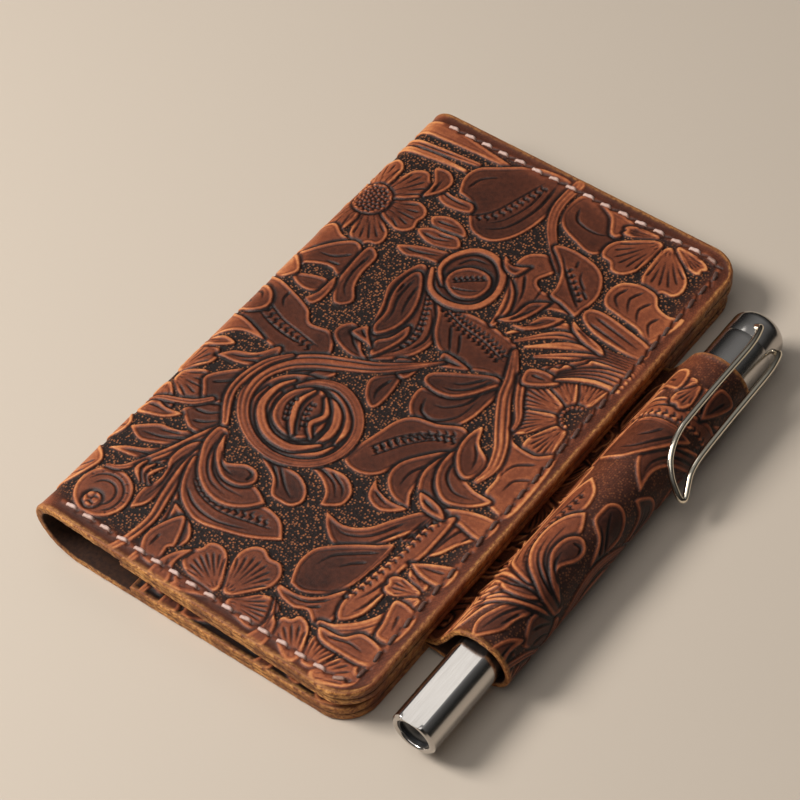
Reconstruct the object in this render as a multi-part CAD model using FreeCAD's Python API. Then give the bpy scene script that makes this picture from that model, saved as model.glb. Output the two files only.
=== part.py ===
import FreeCAD, Part

import math
import os

from FreeCAD import Placement, Rotation, Vector

# Tooled leather notebook cover, closed, lying on its back cover, with a pen in its loop.
# Row frame: millimetres, +X from spine to fore-edge, +Y up the spine, +Z out of the front cover.
# Inside this script lengths along X count from the spine's outside (x = 0) and lengths along Y
# from the bottom edge (y = 0); save() moves every solid to the row's origin at the end.

# ---- cover ----
COVER_HEIGHT = 152.0
COVER_WIDTH = 96.0
FRONT_OVERHANG = 2.0
SHELL_THICKNESS = 2.4
POCKET_THICKNESS = 2.2
CORNER_RADIUS = 9.0
POCKET_MOUTH_X = 28.0
FRONT_TILT_DEG = 4.2

# ---- spine: two bends of one shell, their outside radii and common middle height ----
LOWER_BEND_RADIUS = 11.2
UPPER_BEND_RADIUS = 7.1
SPINE_MID_Z = 11.2
LOWER_CUT_DEG = 225.0
UPPER_CUT_DEG = 132.9
HINGE_GAP = 0.15

# ---- pocket slots and seam ----
SEAM_INSET = 3.9
SLOT_INSET = 5.2
SLOT_DEPTH = 0.4

# ---- stitches ----
STITCH_PITCH = 5.2
STITCH_LENGTH = 4.2
THREAD_WIDTH = 0.7
THREAD_RISE = 0.25

# ---- pen loop ----
LOOP_Y = (26.0, 119.4)
LOOP_INNER_RADIUS = 7.1
LOOP_THICKNESS = 1.4
STRAP_END_THICKNESS = 0.7
STRAP_SEAM_WIDTH = 8.0

# ---- pen, measured along its own axis from the cover's bottom edge ----
PEN_X = 109.2
PEN_Z = 8.9
PEN_REAR_Y = 3.0
BARREL_RADIUS = 5.75
BARREL_BORE_RADIUS = 4.2
BARREL_END_Y = 86.0
REAR_RIM_ROUNDING = 0.6
FLAT_OFFSET = 4.85
FLAT_LENGTH = 42.0
PLUG_SETBACK = 1.6
PLUG_LENGTH = 6.0
DIMPLE_RADIUS = 1.4
DIMPLE_DEPTH = 1.2
GRIP_END_Y = 118.0
GRIP_SPIGOT_LENGTH = 8.0
GRIP_REAR_RADIUS = 5.2
GRIP_FRONT_RADIUS = 4.2
TIP_END_Y = 125.4
TIP_SHOULDER_RADIUS = 3.8
TIP_END_RADIUS = 1.5
REFILL_START_Y = 15.0
REFILL_RADIUS = 2.6
REFILL_NECK_RADIUS = 1.0
REFILL_GAP = 0.1
NIB_END_Y = 127.2
NIB_RADIUS = 0.35
CAP_RADIUS = 6.85
CAP_BORE_RADIUS = 6.1
CAP_START_Y = 79.0
CROWN_START_Y = 130.0
CROWN_SPIGOT_LENGTH = 2.5
CAP_END_Y = 138.2
DOME_RISE = 3.0
DOME_STEPS = 6
LINER_START_Y = 104.0
LINER_END_Y = 126.0
LINER_BORE_RADIUS = 5.55
PRESS_GAP = 0.02

# ---- wire clip ----
WIRE_RADIUS = 0.75
CLIP_FACING_DEG = 38.0
CLIP_HALF_SPACING = 4.0
CLIP_ROOT_Y = 133.0
CLIP_ROOT_HEIGHT = 4.4
CLIP_TIP_Y = 85.4
CLIP_TIP_SIDE = -8.3
CLIP_RISE_HEIGHT = 7.4
CLIP_RISE_DROP = 0.7
CLIP_RISE_LENGTH = 8.0
CLIP_SWEEP_LENGTH = 12.0
# each arm's corners on its way to the tip, as (distance before the tip, side)
CLIP_LONG_SWEEP = ((7.6, 3.1), (3.9, 0.9), (1.2, -2.4), (0.1, -5.4))
CLIP_SHORT_SWEEP = ((6.6, -4.8), (4.0, -6.1), (2.0, -7.5))
CLIP_LEATHER_GAP = 0.3
CLIP_SLOT_GAP = 0.35

# ---- worked-out values ----
BACK_WIDTH = COVER_WIDTH - FRONT_OVERHANG
ROW_ORIGIN = Vector(COVER_WIDTH / 2, COVER_HEIGHT / 2, 0)
TILT = math.radians(FRONT_TILT_DEG)
LOWER_BEND = Vector(LOWER_BEND_RADIUS, 0, SPINE_MID_Z)
UPPER_BEND = Vector(UPPER_BEND_RADIUS, 0, SPINE_MID_Z)
FRONT_START = UPPER_BEND + Vector(math.sin(TILT), 0, math.cos(TILT)) * UPPER_BEND_RADIUS
FRONT_LENGTH = (COVER_WIDTH - FRONT_START.x) / math.cos(TILT)
FRONT_PLACE = Placement(FRONT_START, Rotation(Vector(0, 1, 0), FRONT_TILT_DEG))
FRONT_MOUTH_U = (POCKET_MOUTH_X - FRONT_START.x) / math.cos(TILT)
CUT_MARGIN = 1.0


def box(x0, x1, y0, y1, z0, z1):
    """A box between two corners."""
    return Part.makeBox(x1 - x0, y1 - y0, z1 - z0, Vector(x0, y0, z0))


def rod(x, z, radius, y0, y1):
    """A cylinder along Y."""
    return Part.makeCylinder(radius, y1 - y0, Vector(x, y0, z), Vector(0, 1, 0))


def pen_rod(radius, y0, y1):
    """A cylinder on the pen's axis."""
    return rod(PEN_X, PEN_Z, radius, y0, y1)


def pen_turned(stations):
    """A solid turned about the pen's axis from (y, radius) stations."""
    points = [Vector(PEN_X, y, PEN_Z + radius) for y, radius in stations]
    points = [Vector(PEN_X, stations[0][0], PEN_Z)] + points
    points.append(Vector(PEN_X, stations[-1][0], PEN_Z))
    face = Part.Face(Part.makePolygon(points + points[:1]))
    return face.revolve(Vector(PEN_X, 0, PEN_Z), Vector(0, 1, 0), 360)


def polar(centre, radius, degrees):
    """A point in the XZ plane at an angle from +X about a centre."""
    angle = math.radians(degrees)
    return centre + Vector(math.cos(angle), 0, math.sin(angle)) * radius


def arc_edge(centre, radius, start_deg, end_deg):
    """An arc in the XZ plane."""
    middle = (start_deg + end_deg) / 2
    points = [polar(centre, radius, angle) for angle in (start_deg, middle, end_deg)]
    return Part.Arc(*points).toShape()


def bend(centre, outer, start_deg, end_deg):
    """A stretch of shell bent about a centre, the full height of the cover."""
    inner = outer - SHELL_THICKNESS
    edges = [
        arc_edge(centre, outer, start_deg, end_deg),
        Part.makeLine(polar(centre, outer, end_deg), polar(centre, inner, end_deg)),
        arc_edge(centre, inner, end_deg, start_deg),
        Part.makeLine(polar(centre, inner, start_deg), polar(centre, outer, start_deg)),
    ]
    return Part.Face(Part.Wire(edges)).extrude(Vector(0, COVER_HEIGHT, 0))


def gap_degrees(outer):
    """Half the gap left at a fold line, as an angle about the bend's centre."""
    return math.degrees(HINGE_GAP / (outer - SHELL_THICKNESS / 2))


def panel(x0, x1, z0, z1, inset=0.0):
    """A flat sheet with both corners rounded at its x1 edge."""
    radius = CORNER_RADIUS - inset
    y0 = inset
    y1 = COVER_HEIGHT - inset
    sheet = box(x0, x1, y0, y1, z0, z1)
    corners = [edge for edge in sheet.Edges
               if all(abs(v.X - x1) < 1e-6 for v in edge.Vertexes)
               and abs(edge.Vertexes[0].Z - edge.Vertexes[1].Z) > 1e-6]
    return sheet.makeFillet(radius, corners)


def seam_stations(x_start, x_edge):
    """Stitch centres and headings along the bottom, fore-edge and top of one cover."""
    radius = CORNER_RADIUS - SEAM_INSET
    x_far = x_edge - SEAM_INSET
    straight = x_far - radius - x_start
    quarter = math.pi / 2 * radius
    side = COVER_HEIGHT - 2 * (SEAM_INSET + radius)
    total = 2 * straight + 2 * quarter + side
    count = round(total / STITCH_PITCH)
    stations = []
    for index in range(count):
        along = total * (index + 0.5) / count
        mirrored = along > total / 2
        run = total - along if mirrored else along
        if run < straight:
            point = Vector(x_start + run, SEAM_INSET, 0)
            heading = 0.0
        elif run < straight + quarter:
            turn = (run - straight) / radius
            centre = Vector(x_far - radius, SEAM_INSET + radius, 0)
            point = centre + Vector(math.sin(turn), -math.cos(turn), 0) * radius
            heading = math.degrees(turn)
        else:
            point = Vector(x_far, SEAM_INSET + radius + run - straight - quarter, 0)
            heading = 90.0
        if mirrored:
            point.y = COVER_HEIGHT - point.y
            heading = -heading
        stations.append((point, heading))
    return stations


def stitch(point, heading, z_low, z_high):
    """One loop of thread through the leather: two bars joined by two legs."""
    half = STITCH_LENGTH / 2
    side = THREAD_WIDTH / 2
    loop = box(-half, half, -side, side, z_low, z_high)
    inside = THREAD_WIDTH
    loop = loop.cut(box(-half + inside, half - inside, -side, side, z_low + inside, z_high - inside))
    loop.Placement = Placement(point, Rotation(Vector(0, 0, 1), heading))
    return loop


def stitches(x_start, x_edge, mouth_x, reach_bare, reach_with_pocket):
    """All the stitches of one cover, as separate solids; reach is (lowest, highest)."""
    loops = []
    for point, heading in seam_stations(x_start, x_edge):
        bare = point.x - STITCH_LENGTH / 2 < mouth_x
        low, high = reach_bare if bare else reach_with_pocket
        loops.append(stitch(point, heading, low, high))
    return Part.makeCompound(loops)


def back_shell():
    """Flat back cover and the first half of the lower bend."""
    flat = panel(LOWER_BEND_RADIUS, BACK_WIDTH, 0, SHELL_THICKNESS)
    cut = LOWER_CUT_DEG + gap_degrees(LOWER_BEND_RADIUS)
    return flat.fuse(bend(LOWER_BEND, LOWER_BEND_RADIUS, 270, cut)).removeSplitter()


def spine_shell():
    """The spine between the two fold lines."""
    lower = LOWER_CUT_DEG - gap_degrees(LOWER_BEND_RADIUS)
    upper = UPPER_CUT_DEG + gap_degrees(UPPER_BEND_RADIUS)
    low_half = bend(LOWER_BEND, LOWER_BEND_RADIUS, lower, 180)
    high_half = bend(UPPER_BEND, UPPER_BEND_RADIUS, 180, upper)
    return low_half.fuse(high_half).removeSplitter()


def front_shell():
    """The rest of the upper bend and the flat front cover, which slopes to the fore-edge."""
    flat = panel(0, FRONT_LENGTH, -SHELL_THICKNESS, 0)
    flat.Placement = FRONT_PLACE
    cut = UPPER_CUT_DEG - gap_degrees(UPPER_BEND_RADIUS)
    bent = bend(UPPER_BEND, UPPER_BEND_RADIUS, cut, 90 - FRONT_TILT_DEG)
    return flat.fuse(bent).removeSplitter()


def slot(x0, x1, z0, z1):
    """The shallow space inside the seam that a notebook's cover board slides into."""
    return box(x0 - CUT_MARGIN, x1 - SLOT_INSET, SLOT_INSET, COVER_HEIGHT - SLOT_INSET, z0, z1)


def back_pocket():
    """Inner pocket of the back cover, rebated over the strap's two sewn ends."""
    low = SHELL_THICKNESS
    sheet = panel(POCKET_MOUTH_X, BACK_WIDTH, low, low + POCKET_THICKNESS)
    sheet = sheet.cut(slot(POCKET_MOUTH_X, BACK_WIDTH, low, low + SLOT_DEPTH))
    seam_x = BACK_WIDTH - STRAP_SEAM_WIDTH
    strap_space = box(seam_x, BACK_WIDTH + CUT_MARGIN, LOOP_Y[0], LOOP_Y[1],
                      low, low + 2 * STRAP_END_THICKNESS)
    return sheet.cut(strap_space)


def front_pocket():
    """Inner pocket of the front cover."""
    high = -SHELL_THICKNESS
    sheet = panel(FRONT_MOUTH_U, FRONT_LENGTH, high - POCKET_THICKNESS, high)
    sheet = sheet.cut(slot(FRONT_MOUTH_U, FRONT_LENGTH, high - SLOT_DEPTH, high))
    sheet.Placement = FRONT_PLACE
    return sheet


def back_stitching():
    """Thread along three sides of the back cover, level with the resting face."""
    shell_top = SHELL_THICKNESS + THREAD_RISE
    pocket_top = shell_top + POCKET_THICKNESS
    return stitches(LOWER_BEND_RADIUS, BACK_WIDTH, POCKET_MOUTH_X, (0, shell_top), (0, pocket_top))


def front_stitching():
    """Thread along three sides of the front cover."""
    shell_low = -SHELL_THICKNESS - THREAD_RISE
    pocket_low = shell_low - POCKET_THICKNESS
    thread = stitches(0, FRONT_LENGTH, FRONT_MOUTH_U,
                      (shell_low, THREAD_RISE), (pocket_low, THREAD_RISE))
    thread.Placement = FRONT_PLACE
    return thread


def tangent_point(point, radius, side):
    """Where a line from a point touches the loop's circle, above it or below it."""
    axis = Vector(PEN_X, 0, PEN_Z)
    away = point - axis
    distance = math.hypot(away.x, away.z)
    toward = math.degrees(math.atan2(away.z, away.x))
    return polar(axis, radius, toward - side * math.degrees(math.acos(radius / distance)))


def teardrop(top, bottom, radius):
    """A closed outline: two tangents to the loop's circle from a top and a bottom point."""
    axis = Vector(PEN_X, 0, PEN_Z)
    upper = tangent_point(top, radius, 1)
    lower = tangent_point(bottom, radius, -1)
    far = polar(axis, radius, 0)
    edges = [
        Part.makeLine(top, upper),
        Part.Arc(upper, far, lower).toShape(),
        Part.makeLine(lower, bottom),
    ]
    if (top - bottom).Length > 1e-6:
        edges.append(Part.makeLine(bottom, top))
    return Part.Face(Part.Wire(edges))


def pen_loop():
    """A strap folded round the pen, with its two thinned ends sewn into the seam."""
    low = SHELL_THICKNESS
    high = low + 2 * STRAP_END_THICKNESS
    outside = teardrop(Vector(BACK_WIDTH, 0, high), Vector(BACK_WIDTH, 0, low),
                       LOOP_INNER_RADIUS + LOOP_THICKNESS)
    start = Vector(BACK_WIDTH + 2 * LOOP_THICKNESS, 0, (low + high) / 2)
    inside = teardrop(start, start, LOOP_INNER_RADIUS)
    length = LOOP_Y[1] - LOOP_Y[0]
    strap = outside.cut(inside).extrude(Vector(0, length, 0))
    strap.translate(Vector(0, LOOP_Y[0], 0))
    ends = box(BACK_WIDTH - STRAP_SEAM_WIDTH, BACK_WIDTH, LOOP_Y[0], LOOP_Y[1], low, high)
    return strap.fuse(ends).removeSplitter()


def pen_barrel():
    """Tube with a flat on top and underneath at its rear end, and a rounded rear rim."""
    tube = pen_turned([
        (PEN_REAR_Y, BARREL_RADIUS - REAR_RIM_ROUNDING),
        (PEN_REAR_Y + REAR_RIM_ROUNDING, BARREL_RADIUS),
        (BARREL_END_Y, BARREL_RADIUS),
    ])
    tube = tube.cut(pen_rod(BARREL_BORE_RADIUS, PEN_REAR_Y - CUT_MARGIN, BARREL_END_Y + CUT_MARGIN))
    for low, high in ((FLAT_OFFSET, BARREL_RADIUS + CUT_MARGIN),
                      (-BARREL_RADIUS - CUT_MARGIN, -FLAT_OFFSET)):
        tube = tube.cut(box(PEN_X - BARREL_RADIUS, PEN_X + BARREL_RADIUS,
                            PEN_REAR_Y - CUT_MARGIN, PEN_REAR_Y + FLAT_LENGTH,
                            PEN_Z + low, PEN_Z + high))
    return tube


def pen_end_plug():
    """Dark plug set back inside the rear rim, with a dimple."""
    face_y = PEN_REAR_Y + PLUG_SETBACK
    plug = pen_rod(BARREL_BORE_RADIUS - PRESS_GAP, face_y, face_y + PLUG_LENGTH)
    return plug.cut(pen_rod(DIMPLE_RADIUS, face_y - CUT_MARGIN, face_y + DIMPLE_DEPTH))


def pen_grip():
    """Writing section: a spigot in the barrel and a tapering grip."""
    start_y = BARREL_END_Y - GRIP_SPIGOT_LENGTH
    spigot = BARREL_BORE_RADIUS - PRESS_GAP
    body = pen_turned([
        (start_y, spigot),
        (BARREL_END_Y, spigot),
        (BARREL_END_Y, GRIP_REAR_RADIUS),
        (GRIP_END_Y, GRIP_FRONT_RADIUS),
    ])
    bore = pen_rod(REFILL_RADIUS + REFILL_GAP, start_y - CUT_MARGIN, GRIP_END_Y + CUT_MARGIN)
    return body.cut(bore)


def pen_tip():
    """Metal cone in front of the grip."""
    cone = pen_turned([
        (GRIP_END_Y, GRIP_FRONT_RADIUS),
        (GRIP_END_Y + 2, TIP_SHOULDER_RADIUS),
        (TIP_END_Y, TIP_END_RADIUS),
    ])
    bore_radius = REFILL_NECK_RADIUS + REFILL_GAP
    return cone.cut(pen_rod(bore_radius, GRIP_END_Y - CUT_MARGIN, TIP_END_Y + CUT_MARGIN))


def pen_refill():
    """Ink tube with its narrow writing point."""
    shoulder_y = GRIP_END_Y - 1
    return pen_turned([
        (REFILL_START_Y, REFILL_RADIUS),
        (shoulder_y, REFILL_RADIUS),
        (shoulder_y, REFILL_NECK_RADIUS),
        (TIP_END_Y + 0.5, REFILL_NECK_RADIUS),
        (NIB_END_Y, NIB_RADIUS),
    ])


def cap_tube():
    """Cap sleeve, open at the barrel end."""
    sleeve = pen_rod(CAP_RADIUS, CAP_START_Y, CROWN_START_Y)
    return sleeve.cut(pen_rod(CAP_BORE_RADIUS, CAP_START_Y - CUT_MARGIN, CROWN_START_Y + CUT_MARGIN))


def clip_slots():
    """Two slots through the crown's side, where the clip's wire goes in."""
    half = WIRE_RADIUS + CLIP_SLOT_GAP
    slots = []
    for side in (-1, 1):
        middle = side * CLIP_HALF_SPACING
        slots.append(box(CLIP_ROOT_HEIGHT - half, CAP_RADIUS + CUT_MARGIN,
                         CLIP_ROOT_Y - 1.6 * half, CLIP_ROOT_Y + half,
                         middle - half, middle + half))
    return slots


def clip_place():
    """From the clip's own frame (height along X, side along Z) to the pen."""
    return Placement(Vector(PEN_X, 0, PEN_Z), Rotation(Vector(0, 1, 0), -CLIP_FACING_DEG))


def cap_crown():
    """Domed end of the cap, pressed into the sleeve and slotted for the clip."""
    spigot = CAP_BORE_RADIUS - PRESS_GAP
    stations = [
        (CROWN_START_Y - CROWN_SPIGOT_LENGTH, spigot),
        (CROWN_START_Y, spigot),
        (CROWN_START_Y, CAP_RADIUS),
    ]
    for step in range(DOME_STEPS + 1):
        angle = math.pi / 2 * step / DOME_STEPS
        stations.append((CAP_END_Y - DOME_RISE * (1 - math.sin(angle)),
                         CAP_RADIUS - DOME_RISE * (1 - math.cos(angle))))
    crown = pen_turned(stations)
    for cutter in clip_slots():
        cutter.Placement = clip_place()
        crown = crown.cut(cutter)
    return crown


def cap_liner():
    """Inner sleeve that keeps the cap centred on the grip."""
    outer = pen_rod(CAP_BORE_RADIUS - PRESS_GAP, LINER_START_Y, LINER_END_Y)
    bore = pen_rod(LINER_BORE_RADIUS, LINER_START_Y - CUT_MARGIN, LINER_END_Y + CUT_MARGIN)
    return outer.cut(bore)


def clip_route(side):
    """Corner points of one arm of the clip, in the clip's own frame."""
    plane = LOOP_INNER_RADIUS + LOOP_THICKNESS + CLIP_LEATHER_GAP + WIRE_RADIUS
    across = side * CLIP_HALF_SPACING
    root = [
        Vector(CLIP_ROOT_HEIGHT, CLIP_ROOT_Y, across),
        Vector(CLIP_RISE_HEIGHT, CLIP_ROOT_Y - CLIP_RISE_DROP, across),
        Vector(plane, CLIP_ROOT_Y - CLIP_RISE_LENGTH, across),
        Vector(plane, CLIP_TIP_Y + CLIP_SWEEP_LENGTH, across),
    ]
    swept = CLIP_LONG_SWEEP if side > 0 else CLIP_SHORT_SWEEP
    end = [Vector(plane, CLIP_TIP_Y + ahead, sideways) for ahead, sideways in swept]
    return root + end + [Vector(plane, CLIP_TIP_Y, CLIP_TIP_SIDE)]


def pen_clip():
    """One bent wire: two arms from the crown that sweep aside to a rounded tip past the loop."""
    pieces = []
    for side in (-1, 1):
        route = clip_route(side)
        for start, end in zip(route, route[1:]):
            pieces.append(Part.makeCylinder(WIRE_RADIUS, (end - start).Length, start, end - start))
        for point in route[1:]:
            pieces.append(Part.makeSphere(WIRE_RADIUS, point))
    clip = pieces[0].multiFuse(pieces[1:]).removeSplitter()
    clip.Placement = clip_place()
    return clip


def save(name, shape):
    """Move a shape to the row's frame, report it and write its file."""
    moved = shape.translated(ROW_ORIGIN * -1)
    moved.exportStep(os.path.join("parts", name + ".step"))
    solids = moved.Solids
    valid = all(solid.isValid() for solid in solids)
    print(name, "solids", len(solids), "valid", valid, "volume %.2f" % moved.Volume)


NODES = {
    "back_shell": back_shell,
    "back_pocket": back_pocket,
    "back_stitching": back_stitching,
    "pen_loop": pen_loop,
    "spine_shell": spine_shell,
    "front_shell": front_shell,
    "front_pocket": front_pocket,
    "front_stitching": front_stitching,
    "pen_barrel": pen_barrel,
    "pen_end_plug": pen_end_plug,
    "pen_grip": pen_grip,
    "pen_tip": pen_tip,
    "pen_refill": pen_refill,
    "cap_tube": cap_tube,
    "cap_crown": cap_crown,
    "cap_liner": cap_liner,
    "pen_clip": pen_clip,
}

os.makedirs("parts", exist_ok=True)
for node_name, make in NODES.items():
    save(node_name, make())
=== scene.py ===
import math

import bpy
import numpy as np
from mathutils import Matrix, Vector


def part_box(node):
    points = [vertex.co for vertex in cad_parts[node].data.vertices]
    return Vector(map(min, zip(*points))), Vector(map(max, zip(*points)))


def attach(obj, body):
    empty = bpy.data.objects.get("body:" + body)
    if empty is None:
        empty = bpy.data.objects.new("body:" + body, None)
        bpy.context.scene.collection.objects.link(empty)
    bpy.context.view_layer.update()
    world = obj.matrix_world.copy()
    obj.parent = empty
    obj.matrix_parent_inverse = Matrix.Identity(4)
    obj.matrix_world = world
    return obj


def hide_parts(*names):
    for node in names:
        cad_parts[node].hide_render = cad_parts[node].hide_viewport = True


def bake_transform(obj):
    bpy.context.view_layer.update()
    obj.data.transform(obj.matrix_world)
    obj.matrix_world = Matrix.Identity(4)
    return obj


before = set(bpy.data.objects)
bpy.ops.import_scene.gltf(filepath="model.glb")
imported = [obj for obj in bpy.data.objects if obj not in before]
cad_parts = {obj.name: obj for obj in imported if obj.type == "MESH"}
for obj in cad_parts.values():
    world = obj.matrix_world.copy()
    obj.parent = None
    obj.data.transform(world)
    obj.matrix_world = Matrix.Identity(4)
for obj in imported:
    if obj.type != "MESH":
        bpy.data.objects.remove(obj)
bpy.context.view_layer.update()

# Tooled leather notebook cover with a pen in its loop. Lengths in this script are in millimetres:
# x counts from the spine's outside to the fore-edge, y from the bottom edge up the cover and z up
# from the table. to_row() turns them into the frame's metres.

# ---- cover, as in the frame ----
MM = 0.001
front_low, front_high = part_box("front_shell")
back_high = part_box("back_shell")[1]
loop_low, loop_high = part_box("pen_loop")
barrel_low, barrel_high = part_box("pen_barrel")
cap_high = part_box("cap_crown")[1]
tube_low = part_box("cap_tube")[0]
HEIGHT = (front_high[1] - front_low[1]) / MM
WIDTH = 2 * front_high[0] / MM
BACK_WIDTH = back_high[0] / MM + WIDTH / 2
SHELL = 2.4
POCKET = 2.2
CORNER = 9.0
MOUTH_X = 28.0
TILT = math.radians(4.2)
LOWER_RADIUS = 11.2
UPPER_RADIUS = 7.1
SPINE_Z = 11.2
FRONT_X = UPPER_RADIUS * (1 + math.sin(TILT))
FRONT_LENGTH = (WIDTH - FRONT_X) / math.cos(TILT)
UPPER_ARC = UPPER_RADIUS * (math.pi / 2 + TILT)
LOWER_ARC = LOWER_RADIUS * math.pi / 2

# ---- seams ----
SEAM_INSET = 3.9
STITCH_PITCH = 5.2
HOLE_HALF = 0.9

# ---- loop and pen ----
LOOP_Y = ((loop_low[1] / MM) + HEIGHT / 2, (loop_high[1] / MM) + HEIGHT / 2)
LOOP_OUTER = 8.5
STRAP = 1.4
PEN_X = 500 * (barrel_low[0] + barrel_high[0]) + WIDTH / 2
PEN_Z = 500 * (barrel_low[2] + barrel_high[2])
PEN_REAR = barrel_low[1] / MM + HEIGHT / 2
CAP_END = cap_high[1] / MM + HEIGHT / 2
CAP_START = tube_low[1] / MM + HEIGHT / 2
BARREL_RADIUS = 5.75
BARREL_FRONT = 86.0
FLAT = 4.85
FLAT_END = PEN_REAR + 42.0
BORE = 4.2
PLUG_FACE = PEN_REAR + 1.6
CAP_RADIUS = 6.85
CAP_BORE = 6.12
CROWN_START = 130.0
DOME_RISE = 3.0
CLIP_FACING = math.radians(38)
CLIP_SIDE = 4.0
CLIP_PLANE = LOOP_OUTER + 1.05
WIRE_RADIUS = 0.75


def to_row(points):
    """Millimetres in the script's frame to metres in the row's frame."""
    return (np.asarray(points, float) - (WIDTH / 2, HEIGHT / 2, 0)) * MM


def smooth(t):
    """Smoothstep of t, held at 0 and 1 outside."""
    t = np.clip(t, 0, 1)
    return t * t * (3 - 2 * t)


# =============================================================== relief of the tooled leather

GROUND = 0.52          # depth of the matted background under the raised work
ROLL = 0.38            # how far in from an outline the raised work is rounded
PRESS = 1.15           # how far out from an outline the work underneath is pressed down
STEP = 0.2             # pitch of the relief's grid
TEETH_SCALE = 1.3      # size of the hooked cuts along a serrated vein


def trace(points, closed=False, per=7):
    """A smooth curve through listed points. A point given twice is a corner."""
    p = np.asarray(points, float)
    if closed:
        p = np.vstack([p[-1:], p, p[:2]])
    else:
        p = np.vstack([p[:1], p, p[-1:]])
    t = np.linspace(0, 1, per, endpoint=False)[:, None]
    curve = []
    for a, b, c, d in zip(p, p[1:], p[2:], p[3:]):
        if np.allclose(b, c):
            continue
        m0, m1 = (c - a) / 2, (d - b) / 2
        curve.append(b * (2 * t ** 3 - 3 * t ** 2 + 1) + m0 * (t ** 3 - 2 * t ** 2 + t)
                     + c * (3 * t ** 2 - 2 * t ** 3) + m1 * (t ** 3 - t ** 2))
    if not closed:
        curve.append(p[-1:])
    return np.vstack(curve)


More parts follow.
